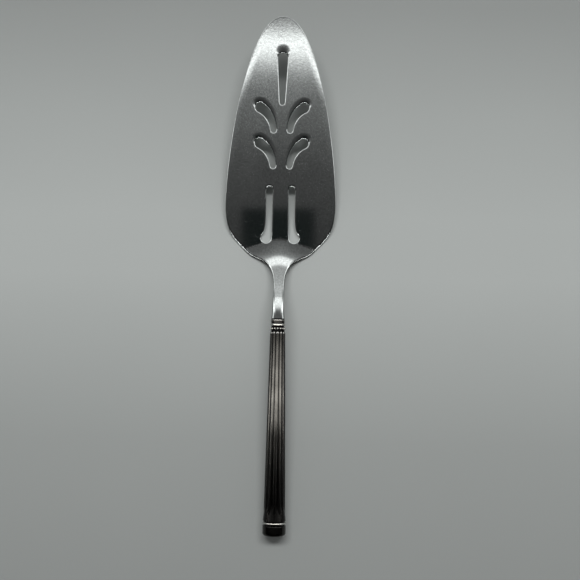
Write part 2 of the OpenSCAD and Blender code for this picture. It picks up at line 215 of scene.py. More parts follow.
# Satin steel: turns of noise per metre, or across, along and upwards, with depths, gloss and scratches
BRUSH_SCALE = (4200.0, 500.0, 4200.0)
BRUSH_SHARE = 0.2
BRUSH_ROUGHNESS = (0.045, 0.065)
FROST_SCALE = (1500.0, 1100.0, 1500.0)
FROST_DEPTH = 0.0042 * MM
FROST_STOPS = ((-0.03, 1.0), (-0.01, 0.9), (0.0, 0.4), (0.04, 0.4), (0.09, 1.0))
SMUDGE_SCALE = 55.0
SMUDGE_SHARE = 0.25
SMUDGE_ROUGHNESS = (0.0, 0.02)
PATCH_RANGE = (0.4, 0.6)
STEEL_SHADES = (0.88, 1.1)
SCRATCH_W = 0.22 * MM
SCRATCH_RANGE = (0.8, 0.86)
SCRATCH_TURNS = (0.05, 0.6)
SCRATCH_RUNS = (5 * MM, 3 * MM)
SCRATCH_ROUGHNESS = 0.15

# Blackened metal: streaks along the handle, uneven shades, and patches with less rubbing and painted
# highlight
STREAK_SCALE = (3000.0, 500.0, 3000.0)
STREAK_SHARE = 0.6
STREAK_STRENGTH = 0.08
STREAK_DEPTH = 0.03 * MM
DARK_SCALE = 160.0
DARK_SHADES = (0.75, 1.2)
DARK_ROUGHNESS = (0.16, 0.22)
HOLLOW_ROUGHNESS = 0.02
RUB_AND_HIGHLIGHT_PATCHES = (0.35, 0.7, 0.55, 1.0)

# Cement with its grains and pits, and table top with its tooth
GRAIN_SCALE = 900.0
CEMENT_SCALE = 120.0
CEMENT_SHADES = (0.6, 1.1)
CEMENT_ROUGHNESS = (0.75, 0.95)
PIT_STRENGTH = 0.4
PIT_DEPTH = 0.1 * MM
TOOTH_SCALE = 700.0
TOOTH_SHARE = 0.25
FLOOR_SCALE = 9.0
FLOOR_SHADES = (0.96, 1.04)
FLOOR_ROUGHNESS = 0.75
FLOOR_SPECULAR = 0.25


def length(name, description, millimetres):
    """A length that a user can change, written in millimetres and kept in metres."""
    return FloatProperty(
        name=name,
        description=description,
        default=millimetres * MM,
        min=0.0,
        precision=5,
        subtype="DISTANCE",
        unit="LENGTH",
    )


def angle(name, description, degrees):
    """An angle that a user can change, written in degrees and kept in radians."""
    return FloatProperty(
        name=name,
        description=description,
        default=math.radians(degrees),
        subtype="ANGLE",
        unit="ROTATION",
    )


def tint(name, description, rgb):
    """A linear colour that a user can change."""
    return FloatVectorProperty(
        name=name, description=description, default=rgb, size=3, min=0.0, max=1.0, subtype="COLOR"
    )


def count(name, description, default, low):
    """A number of like things that a user can change."""
    return IntProperty(name=name, description=description, default=default, min=low)


class BladeSettings(bpy.types.PropertyGroup):
    """Sizes of the blade, neck and tang."""

    blade_len: length("Blade length", "Flat blade, from the heel bend to the tip", 108)
    blade_w: length("Blade width", "Width at the belly", 54)
    blade_t: length("Blade thickness", "Thickness of the sheet", 1.5)
    belly_y: length("Belly", "From the heel bend to the widest place", 18)
    blade_tilt: angle("Blade tilt", "Climb of the blade to its tip", 12)
    heel_depth: length("Heel depth", "From the bend to the middle of the slanting heel edge", 6.8)
    heel_w: length("Heel width", "Across the middles of the slanting heel edges", 32.1)
    heel_angle: angle("Heel angle", "Between a slanting heel edge and the middle line", 46)
    heel_bend_r: length("Heel bend", "Radius of the bend between blade and neck", 18)
    neck_rise: angle("Neck rise", "Climb of the neck from the table", 27)
    neck_len: length("Neck length", "From the heel bend to the axis of the handle", 25.5)
    neck_w: length("Neck width", "Width at the waist", 5.2)
    neck_t: length("Neck thickness", "Thickness at the waist", 3)
    shoulder_bend_r: length("Shoulder bend", "Radius of the bend between neck and handle", 14)
    throat_len: length("Throat", "From the shoulder's corner to the collar", 6)
    bolster_d: length("Bolster", "Diameter of the bolster at the collar", 6.3)
    tang_w: length("Tang width", "Width inside the handle", 3)
    tang_t: length("Tang thickness", "Thickness inside the handle", 2.2)
    tang_len: length("Tang length", "Behind the collar's front face", 84)
    notch_d: length("Notches", "Diameter of the notches that key the tang", 1.2)
    edge_w: length("Heel edge width", "Width of the soft upper edge at the heel", 1.05)
    edge_drop: length("Heel edge drop", "Depth of the soft upper edge at the heel", 0.85)
    side_w: length("Side edge width", "Width of the rounded upper edge at the sides and the tip", 0.35)
    side_drop: length("Side edge drop", "Depth of the rounded upper edge at the sides and the tip", 0.4)
    edge_foot: length("Lower edge", "Rounding of the lower edge of the blade", 0.4)
    crown_w: length("Crown width", "Width over which the face falls to its edge", 3.2)
    crown_drop: length("Crown drop", "Fall of the face to its edge", 0.09)
    fan_run: length("Fan length", "Length of the hollow root between the blade and the neck", 16)
    # Painted shade along the sides of the blade: where it starts and the run over which it grows
    painted_shade_start: length("Tarnish start", "From the heel bend to where the sides start to tarnish", 95)
    painted_shade_run: length("Tarnish run", "Length over which the tarnish of the sides grows", 50)
    fan_soft: length("Fan softness", "Width over which the face bends on either side of the crease", 1.3)
    fan_crease: length("Fan crease", "Width of the crease where the hollow root starts", 0.3)
    bolster_flare: angle("Bolster flare", "Climb of the bolster's faces to the collar", 5.5)
    fan_core: length("Fan core", "Half width of the straight middle of the hollow root", 5)
    waist_round: length("Neck rounding", "Rounding of the neck's edges at the waist", 0.85)


class PiercingSettings(bpy.types.PropertyGroup):
    """Sizes of the openings in the blade."""

    tear_tip_gap: length("Teardrop place", "From the tip to the middle of its round head", 20.1)
    tear_len: length("Teardrop length", "Between the middles of its round ends", 21.2)
    tear_head_w: length("Teardrop head", "Width of the head", 4.7)
    tear_foot_w: length("Teardrop foot", "Width of the foot", 2.4)
    leaf_rows: IntProperty(name="Leaf pairs", description="Number of pairs", default=2, min=1, max=2)
    leaf_y: length("Leaf place", "From the heel bend to the foot of the first pair", 36)
    leaf_pitch: length("Leaf pitch", "From one pair to the next", 17.3)
    leaf_rise: length("Leaf rise", "From a leaf's foot to its head, along the blade", 10.8)
    leaf_foot_span: length("Leaf feet", "Between the feet of one pair", 8)
    leaf_head_span: length("Leaf heads", "Between the heads of one pair", 21.6)
    leaf_head_w: length("Leaf head width", "Width of a leaf's head", 4.5)
    leaf_foot_w: length("Leaf foot width", "Width of a leaf's foot", 2.6)
    slot_y: length("Slot place", "From the heel bend to the middle of a long slot's foot", 0.8)
    slot_len: length("Slot length", "Between the middles of a long slot's ends", 23.3)
    slot_w: length("Slot width", "Width of the stem", 3.2)
    slot_span: length("Slot stems", "Between the stems of the two slots", 11)
    slot_foot_w: length("Slot foot width", "Width of the round foot", 5)
    slot_foot_span: length("Slot feet", "Between the two feet", 13.8)
    rim_far_w: length("Far rim width", "Width of an opening's rim on the side of the tip", 0.9)
    rim_near_w: length("Near rim width", "Width of an opening's rim on the side of the handle", 0.55)
    rim_far_drop: length("Far rim drop", "Depth of an opening's rim on the side of the tip", 0.8)
    rim_near_drop: length("Near rim drop", "Depth of an opening's rim on the side of the handle", 0.5)
    rim_foot: length("Rim foot", "Rounding of the lower rim", 0.2)
    sink_w: length("Sink width", "Width over which the face falls to a leaf", 2.3)
    tear_sink_w: length("Teardrop sink", "Width over which the face falls to the teardrop's head", 3.8)
    slot_sink_w: length("Slot sink", "Width over which the face falls to a long slot's head", 0.6)
    sink_far: length("Far sink", "Fall of the face to a leaf on the side of the tip", 0.24)
    sink_near_w: length("Near sink width", "Width of an opening's plain border on the handle's side", 0.3)


class HandleSettings(bpy.types.PropertyGroup):
    """Sizes of the collar, the shells and the end cap."""

    collar_len: length("Collar length", "Length of the collar", 5.5)
    collar_d: length("Collar diameter", "Diameter of the plain body", 6.3)
    ring_d: length("Ring diameter", "Diameter over the round ring", 7.2)
    ring_w: length("Ring width", "Width of the round ring", 1.1)
    lip_d: length("Fine ring diameter", "Diameter over the fine rings", 6.8)
    lip_w: length("Fine ring width", "Width of the fine rings", 0.5)
    bead_d: length("Bead", "Diameter of a bead", 1.0)
    bead_count: count("Beads", "Number of beads round the collar", 14, 6)
    shell_len: length("Shell length", "Length of the reeded shells", 89)
    shell_top_d: length("Shell top", "Diameter at the collar", 7.1)
    shell_foot_d: length("Shell foot", "Diameter where the end starts to flare", 10)
    shell_end_d: length("Shell end", "Diameter of the flared end", 10.8)
    flare_len: length("Flare", "Length of the flare", 7)
    shell_wall: length("Shell wall", "Thickness of the wall", 0.9)
    reed_count: count("Reeds", "Number of reeds round the handle", 12, 4)
    reed_margin: length("Reed margin", "Plain length between the collar and the reeds", 0.3)
    reed_end: length("Reed end", "Length of the rounded end of a reed", 1.6)
    cap_len: length("Cap length", "Length of the end cap", 7.1)
    cap_d: length("Cap diameter", "Diameter of the end cap", 11)
    cap_rim_r: length("Cap rim", "Radius of the rounded rim", 1.5)
    cap_ring_w: length("Cap ring", "Width of the round ring next to the shells", 1)
    spigot_len: length("Spigot", "Length of the spigot inside the shells", 5)
    glue_gap: length("Glue gap", "Gap round a piece that is glued into another", 0.1)
    bore_gap: length("Bore gap", "Gap between the tang and the collar's bore", 0.2)


class FinishSettings(bpy.types.PropertyGroup):
    """Colours of the metal, the cement and the floor."""

    steel: tint("Steel", "Satin steel of the blade", (0.585, 0.615, 0.605))
    # The handle's own dark colour, which is also painted on the blade as shade
    dark_metal_and_shade: tint("Blackened metal", "Darkened metal of the handle", (0.040, 0.039, 0.037))
    # Painted shade: darkest colour of the grooves, the collar's body between its rings, the cap's groove
    # and the shells' end
    crease: tint("Crease", "Darkest metal in the grooves", (0.004, 0.004, 0.004))
    # Rubbed metal with a painted highlight, for the rings, beads, reed ends and the cap's ring
    rub_and_highlight: tint("Rubbed metal", "Bright metal on the high places of the handle", (0.70, 0.69, 0.66))
    cement: tint("Cement", "Cement inside the handle", (0.55, 0.52, 0.47))
    floor: tint("Floor", "Pale table top", (0.40, 0.42, 0.41))


def settings(group):
    """Sizes or colours of one group in this scene: blade, piercings, handle or finish."""
    return getattr(bpy.context.scene, "server_" + group)


def ease(u):
    """0 to 1 with level ends: 3 u squared less 2 u cubed, held outside."""
    v = np.clip(u, 0.0, 1.0)
    return v * v * (3 - 2 * v)


def eased(value, start, end):
    """Eased share of the way from the start to the end."""
    return ease((value - start) / (end - start))


def mix(a, b, u):
    """Value between a and b at the share u."""
    return a + (b - a) * u


def bezier(points, u):
    """Bezier curve by repeated mixing of neighbouring control points, at all shares u at once."""
    rest = [np.outer(np.ones_like(u), np.asarray(p, float)) for p in points]
    share = u[:, None]
    while len(rest) > 1:
        rest = [mix(a, b, share) for a, b in zip(rest, rest[1:])]
    return rest[0]


def unit(vectors):
    """Vectors at the length 1."""
    size = np.linalg.norm(vectors, axis=-1, keepdims=True)
    return vectors / np.maximum(size, NO_LENGTH)


class Layout:
    """Places worked out from the sizes: the line of blade, neck and tang, and the handle's axis."""

    def __init__(self):
        b = settings("blade")
        h = settings("handle")
        self.blade = b
        self.heel_turn = b.blade_tilt + b.neck_rise
        self.heel_arc = b.heel_bend_r * self.heel_turn
        self.corner_z = b.heel_bend_r * (1 - math.cos(b.neck_rise)) + b.blade_t / 2
        self.corner_z += b.neck_len * math.sin(b.neck_rise)
        self.corner_run = b.heel_bend_r * math.sin(b.neck_rise) + b.neck_len * math.cos(b.neck_rise)
        handle_len = b.throat_len + h.collar_len + h.shell_len + h.cap_len
        rim_z = handle_len - h.cap_rim_r
        rim_offset = h.cap_d / 2 - h.cap_rim_r
        reach = math.hypot(rim_z, rim_offset)
        fall = math.asin((self.corner_z - h.cap_rim_r) / reach) - math.atan2(rim_offset, rim_z)
        self.handle_slope = fall
        self.collar_z = b.throat_len
        self.shell_z = self.collar_z + h.collar_len
        self.cap_z = self.shell_z + h.shell_len
        turn = b.neck_rise + fall
        self.shoulder_tangent = b.shoulder_bend_r * math.tan(turn / 2)
        self.shoulder_start = self.heel_arc + b.neck_len - self.shoulder_tangent
        self.shoulder_end = self.shoulder_start + b.shoulder_bend_r * turn
        self.mouth = self.shoulder_end + b.throat_len - self.shoulder_tangent
        self.waist = self.heel_arc + WAIST_SHARE * b.neck_len
        tip_run = b.blade_len * math.cos(b.blade_tilt)
        tip_run += (b.heel_bend_r + b.blade_t / 2) * math.sin(b.blade_tilt)
        end_run = handle_len * math.cos(fall) + rim_offset * math.sin(fall)
        self.heel_y = (self.corner_run + end_run - tip_run) / 2

    def middle_line(self, d):
        """Flat blade, bend, climbing neck, bend and handle axis: y, z and climb at d behind the bend."""
        b = self.blade
        r = b.heel_bend_r
        turn = self.heel_turn
        end_climb = b.blade_tilt - self.handle_slope
        bend = d / r
        over = turn - (d - self.shoulder_start) / b.shoulder_bend_r
        up = d - self.heel_arc
        arc_y = -r * math.sin(turn)
        arc_z = r * (1 - math.cos(turn))
        start_y = arc_y - (b.neck_len - self.shoulder_tangent) * math.cos(turn)
        start_z = arc_z + (b.neck_len - self.shoulder_tangent) * math.sin(turn)
        on = d - self.shoulder_end + self.shoulder_tangent
        corner_y = arc_y - b.neck_len * math.cos(turn)
        corner_z = arc_z + b.neck_len * math.sin(turn)
        zones = [d <= 0, d <= self.heel_arc, d <= self.shoulder_start, d <= self.shoulder_end]
        y = np.select(
            zones,
            [
                -d,
                -r * np.sin(bend),
                arc_y - up * math.cos(turn),
                start_y + b.shoulder_bend_r * (np.sin(over) - math.sin(turn)),
            ],
            corner_y - on * math.cos(end_climb),
        )
        z = np.select(
            zones,
            [
                0 * d,
                r * (1 - np.cos(bend)),
                arc_z + up * math.sin(turn),
                start_z + b.shoulder_bend_r * (np.cos(over) - math.cos(turn)),
            ],
            corner_z + on * math.sin(end_climb),
        )
        climb = np.select(zones, [0 * d, bend, turn + 0 * d, over], end_climb)
        return y, z, climb

    def on_blade(self, x, d, n):
        """Point x across, d behind the heel bend and n above the middle line, in the frame."""
        b = self.blade
        y, z, climb = self.middle_line(d)
        own_y = y + n * np.sin(climb)
        own_z = z + n * np.cos(climb) - b.heel_bend_r
        c = math.cos(b.blade_tilt)
        s = math.sin(b.blade_tilt)
        up = b.heel_bend_r + b.blade_t / 2
        return np.stack([x, self.heel_y + own_y * c - own_z * s, up + own_y * s + own_z * c], axis=-1)

    def on_handle(self, x, up, z):
        """Point x across, up from the axis and z behind the shoulder's corner, in the frame."""
        c = math.cos(self.handle_slope)
        s = math.sin(self.handle_slope)
        y = self.heel_y - self.corner_run - z * c - up * s
        return np.stack([x, y, self.corner_z + up * c - z * s], axis=-1)

    def half_thickness(self, d):
        """Blade thickness up to the heel, eased into the neck, then into the bolster."""
        b = self.blade
        neck = mix(b.blade_t, b.neck_t, eased(d, b.heel_depth, self.waist))
        bolster = mix(b.neck_t, b.bolster_d, eased(d, self.waist, self.mouth))
        return np.where(d <= self.waist, neck, bolster) / 2

    def rounding(self, d, half, at_blade):
        """Size of an edge's rounding: the blade's, eased to the neck's, then to most of the half size."""
        b = self.blade
        to_waist = eased(d, b.heel_depth, self.waist)
        to_mouth = eased(d, self.shoulder_start, self.mouth)
        return mix(mix(at_blade, b.waist_round, to_waist), ROUND_MOUTH_SHARE * half, to_mouth)


def outline(layout):
    """Right half of the blade's outline from the mouth to the tip, as x and d, on four Bezier curves."""
    b = layout.blade
    belly_half = b.blade_w / 2
    waist_half = b.neck_w / 2
    front = b.blade_len - b.belly_y
    back = b.belly_y + b.heel_depth
    root = layout.waist - b.heel_depth
    flare = layout.mouth - layout.waist
    slant = np.array([math.cos(b.heel_angle), -math.sin(b.heel_angle)])
    tip = np.array([-b.blade_len, 0.0])
    belly = np.array([-b.belly_y, belly_half])
    heel = np.array([b.heel_depth, b.heel_w / 2])
    waist = np.array([layout.waist, waist_half])
    mouth = np.array([layout.mouth, b.bolster_d / 2])
    along = np.array([1.0, 0.0])
    across = np.array([0.0, 1.0])
    curves = [
        [
            tip,
            tip + belly_half * TIP_HANDLE_SHARE * across,
            belly - front * BELLY_TIP_HANDLE_SHARE * along,
            belly,
        ],
        [
            belly,
            belly + back * BELLY_HEEL_HANDLE_SHARE * along,
            heel - back * HEEL_BELLY_HANDLE_SHARE * slant,
            heel,
        ],
        [
            heel,
            heel + root * HEEL_NECK_HANDLE_SHARE * slant,
            waist - root * WAIST_HANDLE_SHARE * along,
            waist,
        ],
        [
            waist,
            waist + flare * FLARE_HANDLE_SHARE * along,
            np.array([mouth[0] - flare * FLARE_HANDLE_SHARE / 2, waist_half]),
            mouth,
        ],
    ]
    parts = [bezier(c, np.arange(n) / n) for c, n in zip(curves, OUTLINE_STEPS)]
    points = np.concatenate(parts + [mouth[None]])[::-1]
    return points[:, 1], points[:, 0]


def swept_slot(discs):
    """Closed outline of a disc (x, y, radius) swept along a Bezier curve, run clockwise, as x and y."""
    path = bezier(discs, np.linspace(0.0, 1.0, SLOT_STEPS + 1))
    step = np.gradient(path[:, :2], axis=0)
    heading = np.arctan2(step[:, 1], step[:, 0])
    half_turn = np.linspace(-math.pi / 2, math.pi / 2, SLOT_END_STEPS + 1)[1:-1]

    def rim(index, turn):
        out = heading[index] + turn
        return path[index, :2] + path[index, 2:] * np.stack([np.cos(out), np.sin(out)], axis=-1)

    rows = np.arange(SLOT_STEPS + 1)
    last = np.full(len(half_turn), SLOT_STEPS)
    right = rim(rows, -math.pi / 2)
    head = rim(last, half_turn)
    left = rim(rows[::-1], math.pi / 2)
    foot = rim(0 * last, half_turn + math.pi)
    loop = np.concatenate([right, head, left, foot])[::-1]
    return loop[:, 0], loop[:, 1]


def piercings():
    """Outlines of all openings: the teardrop, the leaf pairs and the two long slots."""
    b = settings("blade")
    p = settings("piercings")
    head_y = b.blade_len - p.tear_tip_gap
    foot_y = head_y - p.tear_len
    outlines = [swept_slot([(0, foot_y, p.tear_foot_w / 2), (0, head_y, p.tear_head_w / 2)])]
    spread = (p.leaf_head_span - p.leaf_foot_span) / 2
    ankle_y = p.slot_len * ANKLE_SHARE
    ankle_r = p.slot_w / 2 * ANKLE_W_SHARE
    pairs = [
        [
            (p.slot_foot_span / 2, p.slot_y, p.slot_foot_w / 2),
            (p.slot_span / 2, p.slot_y + ankle_y, ankle_r),
            (p.slot_span / 2, p.slot_y + 2 * ankle_y, ankle_r),
            (p.slot_span / 2, p.slot_y + p.slot_len, p.slot_w / 2),
        ]
    ]
    for row in range(p.leaf_rows):
        y = p.leaf_y + row * p.leaf_pitch
        foot_x = p.leaf_foot_span / 2
        elbow_x = foot_x + spread * LEAF_ELBOW_SHARES[0]
        elbow_y = y + p.leaf_rise * LEAF_ELBOW_SHARES[1]
        pairs.append(
            [
                (foot_x, y, p.leaf_foot_w / 2),
                (elbow_x, elbow_y, (p.leaf_foot_w + p.leaf_head_w) / 4),
                (p.leaf_head_span / 2, y + p.leaf_rise, p.leaf_head_w / 2),
            ]
        )
    for discs in pairs:
        x, y = swept_slot(discs)
        outlines.append((x, y))
        outlines.append((-x[::-1], y[::-1]))
    return outlines


def edge_profile(apron, sink, width, drop, foot_w, foot_drop):
    """Edge of the face: a shallow parabola, a quarter ellipse, a short wall and a quarter ellipse below.

    Gives for each step the inset, and the depth below the top or the height above the bottom.
    """
    a = np.linspace(0.0, math.pi / 2, ROUND_STEPS + 1)[None, :]
    shares = np.linspace(1.0, 0.0, APRON_STEPS + 1)[None, :-1]
    apron_inset = width[:, None] + apron[:, None] * shares
    upper_inset = np.concatenate([apron_inset, np.outer(width, 1 - np.sin(a))], axis=1)
    reach = (width + apron)[:, None]
    fall = sink[:, None] * (1 - upper_inset / reach) ** 2
    fall[:, APRON_STEPS:] += np.outer(drop, 1 - np.cos(a))
    inset = np.concatenate([upper_inset, np.outer(foot_w, 1 - np.cos(a))], axis=1)
    return inset, fall, np.outer(foot_drop, 1 - np.sin(a))


def step_along(rows, closed):
    """Step from one row of points to the next, wrapped round where the rows are closed."""
    if closed:
        return np.roll(rows, -1, axis=0) - np.roll(rows, 1, axis=0)
    return np.gradient(rows, axis=0)


def inward_of(x, d, closed):
    """Direction into the metal, on the left of an outline, in the flat plane."""
    step = step_along(np.stack([x, -d], axis=-1), closed)
    return unit(np.stack([-step[:, 1], step[:, 0]], axis=-1))


def rim_surface(layout, x, d, closed, sizes):
    """Edge profile carried along an outline whose metal lies on its left.

    A point is the outline moved inwards by the profile's inset, at the profile's height.
    sizes gives the widths and depths of the edge profile along the outline.
    """
    path = np.stack([x, -d], axis=-1)
    inward = inward_of(x, d, closed)
    if not closed:
        to_waist = eased(d, layout.heel_arc, layout.waist)[:, None]
        straight = np.stack([-np.sign(x), 0 * x], axis=-1)
        inward = unit(mix(inward, straight, to_waist))
    inset, below_top, above_bottom = edge_profile(*sizes)
    spots = path[:, None, :] + inset[:, :, None] * inward[:, None, :]
    deep = -spots[..., 1]
    half = layout.half_thickness(deep)
    upper_count = below_top.shape[1]
    upper = half[:, :upper_count] - below_top
    lower = -half[:, upper_count:] + above_bottom
    points = layout.on_blade(spots[..., 0], deep, np.concatenate([upper, lower], axis=1))
    return points, spots


def leaning(layout, lean, sideways, side):
    """Normal of a face that leans by an angle towards the tip, and away from a sideways direction."""
    b = layout.blade
    along = unit(np.stack([sideways, np.ones_like(sideways)], axis=-1))
    own_y = np.sin(lean) * along[..., 1]
    own_z = np.cos(lean)
    c = math.cos(b.blade_tilt)
    s = math.sin(b.blade_tilt)
    own_x = -np.sin(lean) * along[..., 0]
    return side * np.stack([own_x, own_y * c - own_z * s, own_y * s + own_z * c], axis=-1)


def plain_normals(layout, d, side):
    """Normal of the upper (side 1) or lower (side -1) face that follows the middle line's climb alone."""
    _, _, climb = layout.middle_line(d)
    return leaning(layout, climb, 0 * d, side)


def fan_place(layout, x, d):
    """Place in the fan: distance from its middle, distance past its crease, share of the way to its end."""
    b = layout.blade
    first, last = FAN_SLOPES
    out = np.hypot(x, b.fan_core)
    late = d - first * (out - b.fan_core)
    run = np.clip(late / (b.fan_run + (last - first) * (out - b.fan_core)), 0.0, 1.0)
    return out, late, run


def face_normals(layout, x, d, side):
    """Normal of the upper (side 1) or lower (side -1) face.

    It leans by the climb of the middle line and the swelling of the neck. The hollow root starts with a
    crease, goes on nearly flat and then turns up to the neck. All this comes later at the sides, so that
    its contours fan out round the neck, and the face leans away from there.
    """
    b = layout.blade
    ahead = layout.half_thickness(d + SLOPE_STEP)
    behind = layout.half_thickness(d - SLOPE_STEP)
    swell = (ahead - behind) / (2 * SLOPE_STEP) * (d < layout.waist)
    first, last = FAN_SLOPES
    out, late, run = fan_place(layout, x, d)
    before, across, after = FAN_CREASE_PARTS
    crease = before * ease(1 + late / b.fan_soft) + across * ease(late / b.fan_crease)
    crease = crease + after * ease(late / b.fan_soft)
    share = FAN_CREASE_SHARE * crease + FAN_FLAT_SHARE * run
    share = share + (1 - FAN_CREASE_SHARE - FAN_FLAT_SHARE) * np.clip(2 * run - 1, 0.0, 1.0)
    _, _, climb = layout.middle_line(d)
    in_root = d < layout.shoulder_start
    to_collar = eased(d, layout.shoulder_start, layout.shoulder_end)
    swelling = np.arctan(swell) + b.bolster_flare * to_collar
    lean = np.where(in_root, layout.heel_turn * share, climb) + side * swelling
    sideways = -mix(first, last, run) * x / out * (1 - ease(run)) * in_root
    return leaning(layout, lean, sideways, side)


def grid_normals(points, closed):
    """Normals of a grid of points: the profile's direction crossed with the path's."""
    return unit(np.cross(np.gradient(points, axis=1), step_along(points, closed)))


def grid_faces(rows, columns, closed, first=0):
    """Quads of a grid whose points are numbered row by row, wrapped round where it is closed."""
    i = np.arange(rows if closed else rows - 1)[:, None]
    j = np.arange(columns - 1)[None, :]
    ahead = (i + 1) % rows
    own = i * columns + j
    next_row = ahead * columns + j
    return first + np.stack([own, own + 1, next_row + 1, next_row], axis=-1).reshape(-1, 4)


def inside(points, loop):
    """True for each point in a closed loop, by counting the loop's edges on one side of it."""
    a = loop[None, :, :]
    b = np.roll(loop, -1, axis=0)[None, :, :]
    p = points[:, None, :]
    spans = (a[..., 1] > p[..., 1]) != (b[..., 1] > p[..., 1])
    rise = np.where(b[..., 1] == a[..., 1], NO_LENGTH, b[..., 1] - a[..., 1])
    cross_x = a[..., 0] + (p[..., 1] - a[..., 1]) / rise * (b[..., 0] - a[..., 0])
    return (np.sum(spans & (p[..., 0] < cross_x), axis=1) % 2) == 1


def field_points(loops, layout):
    """Points spread over a face: rows close together where it bends and wide apart where it is flat."""
    outer = loops[0]
    half_w = layout.blade.blade_w / 2
    crease_end = -layout.blade.heel_depth
    zones = [
        (-layout.mouth, crease_end, BEND_STEP, 2 * BEND_STEP),
        (crease_end, BEND_STEP, CREASE_STEP, 2 * BEND_STEP),
        (2 * BEND_STEP, layout.blade.blade_len, FLAT_STEP, FLAT_STEP),
    ]
    fields = []
    for start, end, step, apart in zones:
        columns = np.arange(-half_w, half_w, apart)
        fields.append(np.stack(np.meshgrid(columns, np.arange(start, end, step)), axis=-1))
    spots = np.concatenate([f.reshape(-1, 2) for f in fields])
    spots = spots[inside(spots, outer)]
    for hole in loops[1:]:
        spots = spots[~inside(spots, hole)]
    border = np.concatenate(loops)
    gap = np.min(np.linalg.norm(spots[:, None, :] - border[None, :, :], axis=-1), axis=1)
    return spots[gap > CREASE_STEP]


def fill_face(loops, spots):
    """Triangles between the loops, with the loose spots in them, as numbers into loops then spots."""
    flat = np.concatenate(loops + [spots])
    edges = []
    first = 0
    for loop in loops:
        index = first + np.arange(len(loop))
        edges.append(np.stack([index, np.roll(index, -1)], axis=-1))
        first += len(loop)
    coordinates = [Vector(p) for p in flat.tolist()]
    found = delaunay_2d_cdt(coordinates, np.concatenate(edges).tolist(), [], FILL_INSIDE, MERGE_GAP)
    _, _, faces, origins, _, _ = found
    if any(not source for source in origins):
        raise RuntimeError("the openings cross each other or the edge of the blade")
    number = np.array([source[0] for source in origins])
    triangles = number[np.array(faces)]
    middles = np.mean(flat[triangles], axis=1)
    keep = np.ones(len(triangles), bool)
    for hole in loops[1:]:
        keep &= ~inside(middles, hole)
    return triangles[keep]


def tang_surface(layout, start):
    """Tang as rings: a soft rectangle along the axis, narrowed at the notches and at its point."""
    b = layout.blade
    notch_r = b.notch_d / 2
    places = np.concatenate(
        [
            np.linspace(0.0, 1 - TANG_POINT_SHARE, TANG_STEPS),
            *[share + np.linspace(-1, 1, NOTCH_STEPS) * notch_r / b.tang_len for share in NOTCH_SHARES],
            np.linspace(1 - TANG_POINT_SHARE, 1.0, POINT_STEPS)[1:],
        ]
    )
    share = np.unique(np.round(places, MERGE_DIGITS))
    point = mix(1.0, TANG_END_SHARE, np.clip((share - 1 + TANG_POINT_SHARE) / TANG_POINT_SHARE, 0, 1))
    away = np.min(np.abs(share[:, None] - np.array(NOTCH_SHARES)[None, :]), axis=1) * b.tang_len
    bite = np.sqrt(np.maximum(notch_r**2 - away**2, 0.0))
    half_w = (b.tang_w / 2 * point - bite)[:, None]
    half_t = (b.tang_t / 2 * point)[:, None]
    turn = np.arctan2(start[:, 1], start[:, 0])[None, :]
    across = np.abs(np.cos(turn) / half_w) ** TANG_SQUARENESS
    upright = np.abs(np.sin(turn) / half_t) ** TANG_SQUARENESS
    reach = (across + upright) ** (-1 / TANG_SQUARENESS)
    d = np.broadcast_to((layout.mouth + share * b.tang_len)[:, None], reach.shape)
    return layout.on_blade(reach * np.cos(turn), d, reach * np.sin(turn))


def edge_path(layout):
    """Whole outline of the blade, with the sizes of its edge profile and the painted shade along it."""
    b = layout.blade
    right_x, right_d = outline(layout)
    x = np.concatenate([right_x, -right_x[-2::-1]])
    d = np.concatenate([right_d, right_d[-2::-1]])
    half_w = np.abs(x)
    half_t = layout.half_thickness(d)
    on_blade = 1 - eased(d, -b.heel_depth, b.heel_depth)
    at_heel = eased(d, -b.belly_y, 0.0)
    sideways = np.abs(inward_of(x, d, False)[:, 0])
    sizes = (
        mix(NECK_APRON, b.crown_w, on_blade),
        b.crown_drop * on_blade * eased(sideways, *CROWN_SHARES),
        layout.rounding(d, half_w, mix(b.side_w, b.edge_w, at_heel)),
        layout.rounding(d, half_t, mix(b.side_drop, b.edge_drop, at_heel)),
        layout.rounding(d, half_w, b.edge_foot),
        layout.rounding(d, half_t, b.edge_foot),
    )
    # Painted shade: full on the neck's edges, and on the sides out to a length from the heel, fading
    # towards the tip
    side_shaded = SIDE_SHADE_LEVEL * ease((d + b.painted_shade_start) / b.painted_shade_run)
    return x, d, False, sizes, np.maximum(ease(d / b.heel_depth), side_shaded)


def opening_paths():
    """Outlines of the openings, with the sizes of their rims, which are dished on the side of the tip."""
    p = settings("piercings")
    kinds = [(p.tear_sink_w, TEAR_FAR_SHARES)] + 2 * [(p.slot_sink_w, FAR_SHARES)]
    kinds += 2 * p.leaf_rows * [(p.sink_w, FAR_SHARES)]
    paths = []
    for (x, y), (sink_w, (none, full)) in zip(piercings(), kinds):
        upwards = inward_of(x, -y, True)[:, 1]
        sunk = np.clip((upwards - none) / (full - none), 0.0, 1.0)
        far = ease(upwards)
        foot = p.rim_foot * np.ones_like(x)
        sizes = (
            mix(p.sink_near_w, sink_w, sunk),
            p.sink_far * sunk * min(1.0, sink_w / p.sink_w),
            mix(p.rim_near_w, p.rim_far_w, far),
            mix(p.rim_near_drop, p.rim_far_drop, far),
            foot,
            foot,
        )
        paths.append((x, -y, True, sizes, 0 * x))
    return paths


